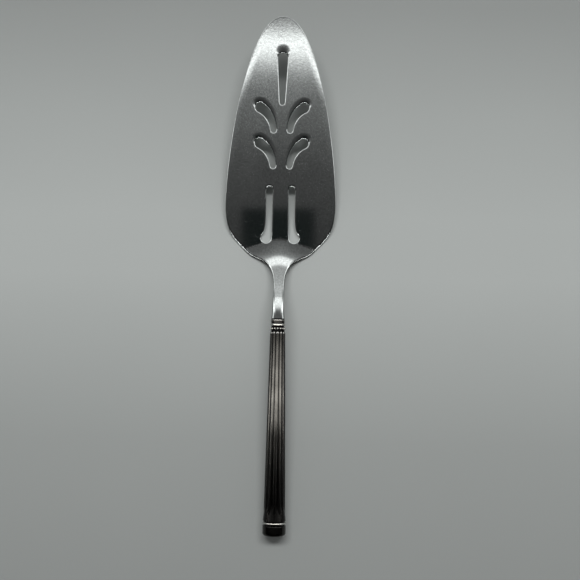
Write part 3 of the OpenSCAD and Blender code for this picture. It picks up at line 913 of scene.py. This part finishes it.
def blade_mesh(layout):
    """Whole blade: rims along its outline and openings, filled faces, bolster end and tang.

    Gives the points, faces, normals, a mark of the places with painted shade, and how many flat faces come
    last.
    """
    b = layout.blade
    points = []
    normals = []
    faces = []
    painted_shade = []
    tops = []
    bottoms = []
    numbers = []
    first = 0
    for x, d, closed, sizes, shaded in [edge_path(layout), *opening_paths()]:
        grid, spots = rim_surface(layout, x, d, closed, sizes)
        rows, columns = grid.shape[:2]
        normal = grid_normals(grid, closed)
        plain = plain_normals(layout, -spots[..., 1], 1)
        fanned = face_normals(layout, spots[..., 0], -spots[..., 1], 1)
        facing = np.maximum(np.sum(normal * plain, axis=-1, keepdims=True), 0.0)
        normal = unit(normal + facing * (fanned - plain))
        normal[:, 0] = fanned[:, 0]
        normal[:, -1] = face_normals(layout, spots[:, -1, 0], -spots[:, -1, 1], -1)
        round_share = (np.arange(columns) - APRON_STEPS) / ROUND_STEPS
        # Painted shade on the outer part of each edge's round
        mark = np.outer(shaded, eased(round_share, *EDGE_SHADE_SHARES))
        points.append(grid.reshape(-1, 3))
        normals.append(normal.reshape(-1, 3))
        painted_shade.append(mark.reshape(-1))
        faces += grid_faces(rows, columns, closed, first).tolist()
        tops.append(spots[:, 0])
        bottoms.append(spots[:, -1])
        numbers.append(first + np.arange(rows * columns).reshape(rows, columns))
        first += rows * columns

    for side, loops, column in ((1, tops, 0), (-1, bottoms, -1)):
        spots = field_points(loops, layout)
        border = np.concatenate([n[:, column] for n in numbers])
        number = np.concatenate([border, first + np.arange(len(spots))])
        triangles = number[fill_face(loops, spots)]
        deep = -spots[:, 1]
        points.append(layout.on_blade(spots[:, 0], deep, side * layout.half_thickness(deep)))
        normals.append(face_normals(layout, spots[:, 0], deep, side))
        _, late, _ = fan_place(layout, spots[:, 0], deep)
        # Painted shade along the crease where the hollow root starts
        painted_shade.append(CREASE_SHADE_LEVEL * (1 - ease(2 * np.abs(late) / b.fan_soft)))
        faces += triangles[:, ::side].tolist()
        first += len(spots)

    ends = numbers[0]
    loop = np.concatenate([ends[0], ends[-1, ::-1]])
    section = np.concatenate(points)[loop]
    middle = layout.on_blade(0.0, layout.mouth, 0.0)
    _, _, climb = layout.middle_line(np.array(layout.mouth))
    lean = climb - b.blade_tilt
    up = np.array([0.0, math.sin(lean), math.cos(lean)])
    start = np.stack([section[:, 0], (section - middle) @ up], axis=-1)
    rings = tang_surface(layout, start).transpose(1, 0, 2)
    sides, steps = rings.shape[:2]
    points.append(rings.reshape(-1, 3))
    normals.append(grid_normals(rings, True).reshape(-1, 3))
    painted_shade.append(np.zeros(sides * steps))
    faces += grid_faces(sides, steps, True, first).tolist()
    own = first + np.arange(sides) * steps
    ahead = np.roll(np.arange(sides), -1)
    flat = np.stack([loop, own, own[ahead], loop[ahead]], axis=-1).tolist()
    flat.append((own + steps - 1)[::-1].tolist())
    faces += flat
    return np.concatenate(points), faces, np.concatenate(normals), np.concatenate(painted_shade), len(flat)


def new_piece(name, points, faces, marks):
    """Mesh object at the origin with marks, from 0 to 1, on each of its points for its finish."""
    mesh = bpy.data.meshes.new(name)
    mesh.from_pydata(points.tolist(), [], faces)
    for label, values in marks.items():
        mark = mesh.attributes.new(label, "FLOAT", "POINT")
        mark.data.foreach_set("value", np.asarray(values, np.float32))
    mesh.polygons.foreach_set("use_smooth", np.ones(len(mesh.polygons), bool))
    if mesh.validate():
        raise RuntimeError(f"{name} has faces that do not hold")
    piece = bpy.data.objects.new(name, mesh)
    bpy.context.scene.collection.objects.link(piece)
    return piece


def settle(piece, node, material):
    """Puts the finish on a piece and lets it stand for its node in the frame."""
    piece.data.materials.append(material)
    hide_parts(node)
    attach(piece, "root")


def dark_piece(name, mesh, sharp, node, finish):
    """Piece of dark metal, with sharp edges past an angle, that stands for its node."""
    piece = new_piece(name, *mesh)
    piece.data.set_sharp_from_angle(angle=sharp)
    settle(piece, node, finish)


def dark_piece_marks(points, faces, rub_and_highlight, hollow):
    """Points, faces and marks of a dark piece: where rubbing and a painted highlight make it bright, and
    where painted shade darkens a hollow.
    """
    shape = points.shape[:-1]
    marks = {"rub_and_highlight": np.broadcast_to(rub_and_highlight, shape).ravel()}
    marks["hollow"] = np.broadcast_to(hollow, shape).ravel()
    return points.reshape(-1, 3), faces, marks


def whole_turn():
    """Angles once round the handle's axis, one in each row."""
    return np.linspace(0.0, 2 * math.pi, TURN_STEPS, endpoint=False)[:, None]


def revolved(layout, turn, radius, z):
    """Surface round the handle's axis: the radius at each turn and place, in the frame."""
    return layout.on_handle(radius * np.cos(turn), radius * np.sin(turn), z)


def arc(middle_z, middle_r, size, start, end, steps):
    """Points of a circular arc as place along the axis and radius, from the start to the end angle."""
    a = np.radians(np.linspace(start, end, steps))
    return np.stack([middle_z - size * np.cos(a), middle_r + size * np.sin(a)], axis=-1)


def round_ring(outer_d, width, z):
    """Half-round ring that stands on a body."""
    return arc(z, outer_d / 2 - width / 2, width / 2, 0, 180, RING_STEPS)


def collar_mesh(layout):
    """Collar: a profile with two fine rings and a round ring, turned round the axis, with raised beads.

    The bead row adds to the radius the height of a ball over the band, round each bead's middle.
    """
    b = layout.blade
    h = settings("handle")
    body_r = h.collar_d / 2
    bore_r = math.hypot(b.tang_w, b.tang_t) / 2 + h.bore_gap
    soft = COLLAR_SOFT
    soft_steps = COLLAR_SOFT_STEPS
    bead_z = h.collar_len * BEAD_PLACE_SHARE
    bead_r = h.bead_d / 2
    bead_zs = np.linspace(bead_z - bead_r, bead_z + bead_r, BEAD_STEPS)
    profile = np.concatenate(
        [
            [[0.0, bore_r]],
            arc(soft, body_r - soft, soft, 0, 90, soft_steps),
            *[round_ring(h.lip_d, h.lip_w, h.collar_len * share) for share in LIP_PLACE_SHARES],
            round_ring(h.ring_d, h.ring_w, h.collar_len * RING_PLACE_SHARE),
            np.stack([bead_zs, np.full(BEAD_STEPS, body_r)], axis=-1),
            arc(h.collar_len - soft, body_r - soft, soft, 90, 180, soft_steps),
            [[h.collar_len, bore_r]],
        ]
    )
    profile[:, 1] = np.maximum(profile[:, 1], bore_r)
    turn = whole_turn()
    z = profile[None, :, 0]
    pitch = 2 * math.pi / h.bead_count
    aside = ((turn - math.pi / 2 + pitch / 2) % pitch - pitch / 2) * body_r
    on_band = (profile[:, 1] == body_r)[None, :]
    ball = np.sqrt(np.maximum(bead_r**2 - aside**2 - (z - bead_z) ** 2, 0.0)) * on_band
    radius = profile[None, :, 1] + ball
    points = revolved(layout, turn, radius, layout.collar_z + z)
    # Rubbing and a painted highlight on the raised rings and beads, at a share for each
    bright_share = np.ones_like(z)
    sizes = (h.lip_w, h.lip_w, h.bead_d)
    for place, size, share in zip((*LIP_PLACE_SHARES, BEAD_PLACE_SHARE), sizes, COLLAR_RUB_AND_HIGHLIGHT):
        bright_share = np.where(np.abs(z - h.collar_len * place) <= size / 2, share, bright_share)
    rub_and_highlight = bright_share * ease((radius - body_r - RUB_AND_HIGHLIGHT_START) / RUB_AND_HIGHLIGHT_RUN)
    # Painted shade on the collar's plain body between its rings and beads
    hollow = 1 - ease((radius - body_r) / HOLLOW_RISE)
    column = len(profile)
    own = np.arange(TURN_STEPS) * column
    ahead = np.roll(own, -1)
    faces = grid_faces(TURN_STEPS, column, True).tolist()
    faces += np.stack([own + column - 1, own, ahead, ahead + column - 1], axis=-1).tolist()
    return dark_piece_marks(points, faces, rub_and_highlight, hollow)


def shell_radius(z):
    """Radius over the reeds: a straight taper, then the flare at the end."""
    h = settings("handle")
    straight = h.shell_len - h.flare_len
    taper = mix(h.shell_top_d, h.shell_foot_d, z / straight) / 2
    flare = mix(h.shell_foot_d, h.shell_end_d, (z - straight) / h.flare_len) / 2
    return np.where(z <= straight, taper, flare)


def half_shell_mesh(layout, first_turn):
    """Half of the reeded shell.

    Outside, the radius at the turn from a reed's crest is that of a round rod on the taper, whose ends
    are long balls, or that of the crease floor where this is higher. Inside is a plain cone.
    """
    h = settings("handle")
    straight = h.shell_len - h.flare_len
    pitch = 2 * math.pi / h.reed_count
    rod_share = math.tan(pitch / 2)
    columns = h.reed_count // 2 * REED_STEPS + 1
    top_r = h.shell_top_d / 2 * rod_share
    reed_start = h.reed_margin + h.reed_end
    end_steps, rod_steps, flare_steps = SHELL_STEPS
    z = np.concatenate(
        [
            np.linspace(0.0, reed_start, end_steps)[:-1],
            np.linspace(reed_start, straight, rod_steps)[:-1],
            np.linspace(straight, h.shell_len, flare_steps),
        ]
    )[None, :]
    turn = np.linspace(0.0, math.pi, columns)[:, None]
    aside = (turn + pitch / 2) % pitch - pitch / 2
    over = mix(h.shell_top_d, h.shell_foot_d, z / straight) / 2
    rod = over * rod_share
    out = over - rod
    short = np.maximum(reed_start - z, 0.0) * top_r / h.reed_end
    thin = np.sqrt(np.maximum(rod**2 - short**2, 0.0))
    under = thin**2 - (out * np.sin(aside)) ** 2
    reed = np.where(under > 0, out * np.cos(aside) + np.sqrt(np.maximum(under, 0.0)), 0.0)
    floor = mix(
        np.minimum(over, shell_radius(z)) * (1 - REED_DEPTH_SHARE),
        h.shell_end_d / 2,
        np.clip((z - straight) / h.flare_len, 0, 1),
    )
    outside = np.maximum(reed, floor)
    bore_len = h.shell_len - h.spigot_len
    bore_end_r = shell_radius(bore_len) - h.shell_wall
    bore = mix(h.shell_top_d / 2 - h.shell_wall, bore_end_r, np.clip(z / bore_len, 0, 1))
    inner = np.broadcast_to(bore, outside.shape)
    loop = np.concatenate([outside, inner[::-1]])
    there_and_back = first_turn + np.concatenate([turn, turn[::-1]])
    points = revolved(layout, there_and_back, loop, layout.shell_z + z)
    # Painted shade in the creases between the reeds, and over the whole shell towards the flare
    height = (outside / over - 1 + REED_DEPTH_SHARE) / REED_DEPTH_SHARE
    crease = 1 - ease(height * CREASE_FALL)
    end_shade_run = END_SHADE_RUN_SHARE * h.flare_len
    end_shade = FLARE_SHADE_LEVEL * ease((z - straight + end_shade_run) / end_shade_run)
    hollow = np.concatenate([np.maximum(crease, end_shade), np.ones_like(outside)])
    # Rubbing and a painted highlight on the rounded ends of the reeds by the collar
    near_end = 1 - ease((z - h.reed_margin - REED_RUB_AND_HIGHLIGHT_START) / REED_RUB_AND_HIGHLIGHT_RUN)
    lifted = ease((outside - floor) / HOLLOW_RISE)
    rub_and_highlight = np.concatenate([near_end * lifted, np.zeros_like(outside)])
    rows = 2 * columns
    steps = z.shape[1]
    faces = grid_faces(rows, steps, True).tolist()
    j = np.arange(columns - 1)
    mate = rows - 1 - j
    front = np.stack([mate, mate - 1, j + 1, j], axis=-1) * steps
    faces += front.tolist()
    faces += (front[:, ::-1] + steps - 1).tolist()
    return dark_piece_marks(points, faces, rub_and_highlight, hollow)


def cap_mesh(layout):
    """End cap: a profile with spigot, round ring, groove, body and rounded rim, turned round the axis."""
    h = settings("handle")
    ring_z = h.cap_len * CAP_RING_PLACE_SHARE
    waist_len = 2 * ring_z
    soft = CAP_SOFT
    spigot_r = shell_radius(h.shell_len - h.spigot_len) - h.shell_wall - h.glue_gap
    seat_r = h.shell_end_d / 2 - h.cap_ring_w / 2
    body_r = h.cap_d / 2
    body_zs = np.linspace(waist_len + soft, h.cap_len - h.cap_rim_r, CAP_STEPS)[1:-1]
    profile = np.concatenate(
        [
            [[-h.spigot_len, spigot_r], [0.0, spigot_r], [0.0, seat_r]],
            round_ring(h.cap_d, h.cap_ring_w, ring_z),
            [[waist_len - soft, seat_r]],
            arc(waist_len + soft, body_r - soft, soft, 0, 90, CAP_SOFT_STEPS),
            np.stack([body_zs, np.full(len(body_zs), body_r)], axis=-1),
            arc(h.cap_len - h.cap_rim_r, body_r - h.cap_rim_r, h.cap_rim_r, 90, 180, RING_STEPS),
            [[h.cap_len, body_r * share] for share in CAP_END_SHARES],
        ]
    )
    turn = whole_turn()
    z = profile[None, :, 0]
    radius = profile[None, :, 1]
    points = revolved(layout, turn, radius, layout.cap_z + z)
    on_ring = np.abs(z - ring_z) < h.cap_ring_w / 2
    # Rubbing and a painted highlight on the cap's ring
    rub_and_highlight = on_ring * ease((radius - seat_r - CAP_RUB_AND_HIGHLIGHT_START) / CAP_RUB_AND_HIGHLIGHT_RUN)
    # Painted shade in the groove round the cap's ring
    hollow = (z < waist_len) * (1 - ease((radius - seat_r) / CAP_HOLLOW_RISE))
    column = len(profile)
    own = np.arange(TURN_STEPS) * column
    faces = grid_faces(TURN_STEPS, column, True).tolist()
    faces.append(own[::-1].tolist())
    faces.append((own + column - 1).tolist())
    return dark_piece_marks(points, faces, rub_and_highlight, hollow)


class Web:
    """A tree of shader nodes, and a short way to add and link them."""

    def __init__(self, tree):
        self.tree = tree

    def node(self, kind, inputs=None, **values):
        """New node with its values set and its inputs set or linked."""
        made = self.tree.nodes.new(kind)
        for key, value in values.items():
            setattr(made, key, value)
        for key, value in (inputs or {}).items():
            self.feed(made.inputs[key], value)
        return made

    def feed(self, socket, value):
        """Links an output to a socket, or sets its value."""
        if isinstance(value, bpy.types.NodeSocket):
            self.tree.links.new(value, socket)
        else:
            socket.default_value = value

    def along(self, place):
        """How far a place is along the server."""
        return self.node("ShaderNodeSeparateXYZ", {0: place}).outputs["Y"]

    def math(self, operation, *values):
        """Result of a math node."""
        return self.node("ShaderNodeMath", dict(enumerate(values)), operation=operation).outputs[0]

    def sum(self, a, b):
        """Sum of two values."""
        return self.math("ADD", a, b)

    def product(self, a, b):
        """Product of two values."""
        return self.math("MULTIPLY", a, b)

    def weighed(self, a, b, share):
        """A share of the first value and the rest of the second."""
        return self.sum(self.product(a, share), self.product(b, 1 - share))

    def ramp(self, value, low, high, to_low=0.0, to_high=1.0, kind="LINEAR"):
        """Value moved from the range low to high into another range, and held there."""
        inputs = {"Value": value, "From Min": low, "From Max": high, "To Min": to_low, "To Max": to_high}
        return self.node("ShaderNodeMapRange", inputs, interpolation_type=kind).outputs["Result"]

    def levels(self, value, stops):
        """Level between stops, each a value and its level, with straight changes from one to the next."""
        low, high = stops[0][0], stops[-1][0]
        top = max(level for _, level in stops)
        made = self.node("ShaderNodeValToRGB", {"Fac": self.ramp(value, low, high)})
        ramp = made.color_ramp
        ramp.interpolation = "LINEAR"
        for index, (place, level) in enumerate(stops):
            share = (place - low) / (high - low)
            stop = ramp.elements[index] if index < len(ramp.elements) else ramp.elements.new(share)
            stop.position = share
            stop.color = (level / top, level / top, level / top, 1.0)
        return self.product(made.outputs["Color"], top)


class Finish(Web):
    """One procedural material with its shader."""

    def __init__(self, name):
        self.material = bpy.data.materials.new(name)
        self.material.use_nodes = True
        super().__init__(self.material.node_tree)
        self.shader = self.tree.nodes["Principled BSDF"]
        self.place = self.node("ShaderNodeTexCoord").outputs["Object"]

    def shade(self, name, value):
        """Links or sets an input of the shader."""
        self.feed(self.shader.inputs[name], value)

    def mark(self, name):
        """A mark that the piece carries on its points."""
        return self.node("ShaderNodeAttribute", attribute_name=name).outputs["Fac"]

    def stretched(self, scale, turn=0.0):
        """Object coordinates, turned about the upright axis and then stretched."""
        turned = self.node("ShaderNodeMapping", {"Vector": self.place, "Rotation": (0.0, 0.0, turn)})
        inputs = {"Vector": turned.outputs["Vector"], "Scale": scale}
        return self.node("ShaderNodeMapping", inputs).outputs["Vector"]

    def noise(self, vector, scale=1.0, detail=2.0, rough=0.5):
        """Noise between 0 and 1."""
        inputs = {"Vector": vector, "Scale": scale, "Detail": detail, "Roughness": rough}
        return self.node("ShaderNodeTexNoise", inputs).outputs["Fac"]

    def blend(self, share, a, b):
        """Colour between a and b."""
        inputs = {MIX_SHARE: share, MIX_A: a, MIX_B: b}
        return self.node("ShaderNodeMix", inputs, data_type="RGBA").outputs[MIX_RESULT]

    def shades(self, share, color, levels):
        """Colour between a darker and a lighter level of itself."""
        low, high = levels
        return self.blend(share, rgba(color, low), rgba(color, high))

    def scratches(self, turn, run):
        """Short thin scratches of about one length: the high tops of a noise stretched along them."""
        across = 1 / SCRATCH_W
        value = self.noise(self.stretched((1 / run, across, across), turn), detail=0.0)
        return self.ramp(value, *SCRATCH_RANGE)

    def bump(self, height, strength, distance):
        """Bump from a height between 0 and 1."""
        inputs = {"Height": height, "Strength": strength, "Distance": distance}
        self.shade("Normal", self.node("ShaderNodeBump", inputs).outputs["Normal"])


def rgba(color, share=1.0):
    """Colour with full cover, at a share of its brightness."""
    return (color[0] * share, color[1] * share, color[2] * share, 1.0)


def satin_steel():
    """Satin steel: frosted grain that sparkles, faint brushing along the blade, a few short scratches."""
    colors = settings("finish")
    made = Finish("satin_steel")
    brushed = made.noise(made.stretched(BRUSH_SCALE))
    frost = made.noise(made.stretched(FROST_SCALE), detail=3.0, rough=0.6)
    cloud = made.noise(made.place, SMUDGE_SCALE, detail=3.0)
    marks = made.sum(*[made.scratches(turn, run) for turn, run in zip(SCRATCH_TURNS, SCRATCH_RUNS)])
    brushing = made.ramp(brushed, *NOISE_RANGE, *BRUSH_ROUGHNESS)
    smudges = made.ramp(cloud, *NOISE_RANGE, *SMUDGE_ROUGHNESS)
    scratched = made.product(marks, SCRATCH_ROUGHNESS)
    made.shade("Roughness", made.sum(made.sum(brushing, smudges), scratched))
    patches = made.ramp(made.weighed(cloud, frost, SMUDGE_SHARE), *PATCH_RANGE)
    steel = made.shades(patches, colors.steel, STEEL_SHADES)
    # Painted shade: the marked edges and crease take the handle's dark colour
    made.shade("Base Color", made.blend(made.mark("painted_shade"), steel, rgba(colors.dark_metal_and_shade)))
    made.shade("Metallic", 1.0)
    depth = made.levels(made.along(made.place), FROST_STOPS)
    grain = made.sum(made.product(brushed, BRUSH_SHARE), frost)
    made.bump(made.product(grain, depth), 1.0, FROST_DEPTH)
    return made.material


def blackened_metal(name):
    """Blackened metal, finely streaked: painted shade in the creases, rubbing and painted highlight on high
    places.
    """
    colors = settings("finish")
    made = Finish(name)
    cloud = made.noise(made.place, DARK_SCALE, detail=3.0)
    fine = made.noise(made.stretched(STREAK_SCALE))
    hollow = made.mark("hollow")
    # Rubbing and a painted highlight: paler metal on the marked high places
    rub_and_highlight = made.product(made.mark("rub_and_highlight"), made.ramp(cloud, *RUB_AND_HIGHLIGHT_PATCHES))
    body = made.shades(made.ramp(cloud, *NOISE_RANGE), colors.dark_metal_and_shade, DARK_SHADES)
    # Painted shade: the marked creases and hollows take the darkest colour
    dark = made.blend(hollow, body, rgba(colors.crease))
    made.shade("Base Color", made.blend(rub_and_highlight, dark, rgba(colors.rub_and_highlight)))
    made.shade("Metallic", 1.0)
    streaks = made.ramp(fine, *NOISE_RANGE, *DARK_ROUGHNESS)
    made.shade("Roughness", made.sum(streaks, made.product(hollow, HOLLOW_ROUGHNESS)))
    made.bump(made.weighed(fine, cloud, STREAK_SHARE), STREAK_STRENGTH, STREAK_DEPTH)
    return made.material


def dull_cement():
    """Cast cement: grey-brown grains with small pits."""
    color = settings("finish").cement
    made = Finish("dull_cement")
    grains = made.noise(made.place, GRAIN_SCALE, detail=4.0, rough=0.7)
    clouds = made.noise(made.place, CEMENT_SCALE)
    made.shade("Base Color", made.shades(made.sum(grains, clouds), color, CEMENT_SHADES))
    made.shade("Roughness", made.ramp(grains, *NOISE_RANGE, *CEMENT_ROUGHNESS))
    made.bump(grains, PIT_STRENGTH, PIT_DEPTH)
    return made.material


def pale_floor():
    """Plain pale table top with a very fine tooth, darker towards both ends of the server by painted shade.
    """
    color = settings("finish").floor
    made = Finish("pale_floor")
    tooth = made.noise(made.place, TOOTH_SCALE, detail=3.0)
    clouds = made.noise(made.place, FLOOR_SCALE)
    pale = made.shades(made.weighed(tooth, clouds, TOOTH_SHARE), color, FLOOR_SHADES)
    # Painted shade along the server
    lit = made.levels(made.along(made.place), FLOOR_SHADE_STOPS)
    made.shade("Base Color", made.blend(lit, rgba(color, 0.0), pale))
    made.shade("Roughness", FLOOR_ROUGHNESS)
    made.shade("Specular IOR Level", FLOOR_SPECULAR)
    return made.material


class SERVER_OT_blade(bpy.types.Operator):
    """Builds the pierced blade with its neck, bolster and tang."""

    bl_idname = "server.blade"
    bl_label = "Blade"

    def execute(self, context):
        points, faces, normals, painted_shade, flat_count = blade_mesh(Layout())
        piece = new_piece("blade_satin", points, faces, {"painted_shade": painted_shade})
        mesh = piece.data
        corner = np.zeros(len(mesh.loops), int)
        mesh.loops.foreach_get("vertex_index", corner)
        own = normals[corner]
        totals = np.zeros(len(mesh.polygons), int)
        mesh.polygons.foreach_get("loop_total", totals)
        flat_corners = int(totals[-flat_count:].sum())
        face_normal = np.zeros(len(mesh.polygons) * 3)
        mesh.polygons.foreach_get("normal", face_normal)
        flat_normals = face_normal.reshape(-1, 3)[-flat_count:]
        own[-flat_corners:] = np.repeat(flat_normals, totals[-flat_count:], axis=0)
        mesh.normals_split_custom_set(own.tolist())
        settle(piece, "blade", satin_steel())
        return {"FINISHED"}


class SERVER_OT_collar(bpy.types.Operator):
    """Builds the ringed and beaded collar."""

    bl_idname = "server.collar"
    bl_label = "Collar"

    def execute(self, context):
        mesh = collar_mesh(Layout())
        finish = blackened_metal("polished_collar")
        dark_piece("collar_beaded", mesh, COLLAR_SHARP, "collar", finish)
        return {"FINISHED"}


class SERVER_OT_shells(bpy.types.Operator):
    """Builds the two reeded half shells of the handle."""

    bl_idname = "server.shells"
    bl_label = "Handle shells"

    def execute(self, context):
        finish = blackened_metal("blackened_shells")
        nodes = ("handle_front_shell", "handle_back_shell")
        for name, node, turn in zip(SHELL_PIECES, nodes, (0.0, math.pi)):
            mesh = half_shell_mesh(Layout(), turn)
            dark_piece(name, mesh, SHELL_SHARP, node, finish)
        return {"FINISHED"}


class SERVER_OT_end_cap(bpy.types.Operator):
    """Builds the end cap with its ring."""

    bl_idname = "server.end_cap"
    bl_label = "End cap"

    def execute(self, context):
        mesh = cap_mesh(Layout())
        finish = blackened_metal("polished_cap")
        dark_piece("cap_ringed", mesh, CAP_SHARP, "end_cap", finish)
        return {"FINISHED"}


class SERVER_OT_cement(bpy.types.Operator):
    """Gives the cement inside the handle its finish."""

    bl_idname = "server.cement"
    bl_label = "Cement"

    def execute(self, context):
        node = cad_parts["cement_filling"]
        node.data.materials.clear()
        node.data.materials.append(dull_cement())
        return {"FINISHED"}


def stage_plane(name, middle, size, material):
    """Level rectangle on the stage."""
    half_x, half_y = size[0] / 2, size[1] / 2
    mesh = bpy.data.meshes.new(name)
    corners = [(-half_x, -half_y, 0), (half_x, -half_y, 0), (half_x, half_y, 0), (-half_x, half_y, 0)]
    mesh.from_pydata(corners, [], [(0, 1, 2, 3)])
    mesh.materials.append(material)
    plane = bpy.data.objects.new(name, mesh)
    bpy.context.scene.collection.objects.link(plane)
    plane.location = middle
    return plane


def card_light(name, color, stops):
    """Glow of a reflector card, with levels along its own Y axis."""
    material = bpy.data.materials.new(name)
    material.use_nodes = True
    web = Web(material.node_tree)
    web.tree.nodes.clear()
    along = web.along(web.node("ShaderNodeTexCoord").outputs["Object"])
    glow = web.node("ShaderNodeEmission", {"Color": rgba(color), "Strength": web.levels(along, stops)})
    web.node("ShaderNodeOutputMaterial", {"Surface": glow.outputs[0]})
    return material


class SERVER_OT_stage(bpy.types.Operator):
    """Builds the floor, the lights, the reflector cards and the camera."""

    bl_idname = "server.stage"
    bl_label = "Stage"

    def floor(self):
        """Pale table top under the server."""
        stage_plane("stage_floor", (0.0, 0.0, 0.0), FLOOR_SIZE, pale_floor())

    def lamp(self):
        """Soft strip lamp that gloss does not show."""
        lamp = bpy.data.lights.new("strip", "AREA")
        lamp.shape = "RECTANGLE"
        lamp.size, lamp.size_y = LAMP_SIZE
        lamp.energy = LAMP_WATTS
        holder = bpy.data.objects.new("strip", lamp)
        bpy.context.scene.collection.objects.link(holder)
        spot = Vector((0.0, math.cos(LAMP_ELEVATION), math.sin(LAMP_ELEVATION))) * LAMP_DISTANCE
        holder.location = spot
        holder.rotation_euler = spot.to_track_quat("Z", "Y").to_euler()
        holder.visible_glossy = False

    def cards(self):
        """Reflector cards that only gloss sees, faces down."""
        self.card("flag", FLAG_MIDDLE, FLAG_SIZE, FLAG_COLOR, FLAG_STOPS, None)
        self.card("warm", WARM_MIDDLE, WARM_SIZE, WARM_COLOR, WARM_STOPS, HANDLE_PIECES)
        self.card("glint", GLINT_MIDDLE, GLINT_SIZE, WHITE, GLINT_STOPS, BLADE_PIECES)
        self.pair("sheen", SHEEN_MIDDLE, SHEEN_SIZE, WHITE, SHEEN_STOPS, SHEEN_LEVELS)
        self.pair("shine", SHINE_MIDDLE, SHINE_SIZE, WARM_COLOR, SHINE_STOPS, SHINE_LEVELS)

    def pair(self, name, middle, size, color, stops, levels):
        """Two like cards on the left and on the right of the shells, each at its own level."""
        across, along, up = middle
        for side, place, level in zip(("left", "right"), (-across, across), levels):
            own = [(spot, level * share) for spot, share in stops]
            self.card(f"{name}_{side}", (place, along, up), size, color, own, SHELL_PIECES)

    def card(self, name, middle, size, color, stops, lit):
        """One card, which reaches all pieces or only the lit ones."""
        card = stage_plane("stage_" + name, middle, size, card_light(name + "_glow", color, stops))
        card.visible_camera = False
        card.visible_diffuse = False
        card.visible_shadow = False
        if lit:
            pieces = bpy.data.collections.new("lit_by_" + name)
            for piece in lit:
                pieces.objects.link(bpy.data.objects[piece])
            card.light_linking.receiver_collection = pieces

    def surroundings(self):
        """Soft even light for the table, and for gloss a room that is bright beyond the tip."""
        world = bpy.data.worlds.new("surroundings")
        world.use_nodes = True
        bpy.context.scene.world = world
        web = Web(world.node_tree)
        place = web.node("ShaderNodeTexCoord").outputs["Generated"]
        parts = web.node("ShaderNodeSeparateXYZ", {0: place}).outputs
        lean = web.product(web.math("ARCTAN2", parts["Y"], parts["Z"]), 180 / math.pi)
        sideways = web.math("ABSOLUTE", parts["X"])
        start = web.ramp(sideways, *FLANK_START, kind="SMOOTHSTEP")
        end = web.ramp(sideways, *FLANK_END, 1.0, 0.0, kind="SMOOTHSTEP")
        flank = web.product(web.product(start, end), web.levels(parts["Y"], FLANK_STOPS))
        sky = web.sum(web.levels(lean, SKY_STOPS), web.levels(lean, BAND_STOPS))
        room = web.sum(sky, flank)
        seen = web.node("ShaderNodeLightPath").outputs["Is Glossy Ray"]
        level = web.node("ShaderNodeMix", {"Factor": seen, "A": ROOM_LEVEL, "B": room}).outputs["Result"]
        back = web.tree.nodes["Background"]
        web.feed(back.inputs["Color"], rgba(WHITE))
        web.feed(back.inputs["Strength"], level)

    def camera(self):
        """Camera nearly straight above, turned a little."""
        data = bpy.data.cameras.new("camera")
        data.lens = LENS_MM
        data.clip_start = CLIP_START
        camera = bpy.data.objects.new("camera", data)
        scene = bpy.context.scene
        scene.collection.objects.link(camera)
        back = Vector((math.sin(CAMERA_TURN), -math.cos(CAMERA_TURN), 0.0)) * CAMERA_BACK
        camera.location = Vector(AIM) + back + Vector((0.0, 0.0, CAMERA_UP))
        camera.rotation_euler = (math.atan2(CAMERA_BACK, CAMERA_UP), 0.0, CAMERA_TURN)
        scene.camera = camera

    def execute(self, context):
        self.floor()
        self.lamp()
        self.cards()
        self.surroundings()
        self.camera()
        context.scene.view_settings.view_transform = "Standard"
        return {"FINISHED"}


class SERVER_PT_panel(bpy.types.Panel):
    """Lists the pieces of the cake server."""

    bl_idname = "SERVER_PT_panel"
    bl_label = "Cake server"
    bl_space_type = "VIEW_3D"
    bl_region_type = "UI"
    bl_category = "Server"

    def draw(self, context):
        for operator in PIECES:
            self.layout.operator(operator.bl_idname)
        for name in SETTINGS:
            group = getattr(context.scene, name)
            box = self.layout.box()
            for size in group.__annotations__:
                box.prop(group, size)


PIECES = (
    SERVER_OT_blade,
    SERVER_OT_collar,
    SERVER_OT_shells,
    SERVER_OT_end_cap,
    SERVER_OT_cement,
    SERVER_OT_stage,
)
SETTINGS = {
    "server_blade": BladeSettings,
    "server_piercings": PiercingSettings,
    "server_handle": HandleSettings,
    "server_finish": FinishSettings,
}


def register():
    """Adds the settings, operators and panel to Blender."""
    for name, group in SETTINGS.items():
        bpy.utils.register_class(group)
        setattr(bpy.types.Scene, name, bpy.props.PointerProperty(type=group))
    for made in (*PIECES, SERVER_PT_panel):
        bpy.utils.register_class(made)


def unregister():
    """Takes the settings, operators and panel out of Blender."""
    for made in (SERVER_PT_panel, *reversed(PIECES)):
        bpy.utils.unregister_class(made)
    for name, group in SETTINGS.items():
        delattr(bpy.types.Scene, name)
        bpy.utils.unregister_class(group)


def main():
    """Builds all pieces and the stage."""
    register()
    bpy.ops.server.blade()
    bpy.ops.server.collar()
    bpy.ops.server.shells()
    bpy.ops.server.end_cap()
    bpy.ops.server.cement()
    bpy.ops.server.stage()


if __name__ == "__main__":
    main()
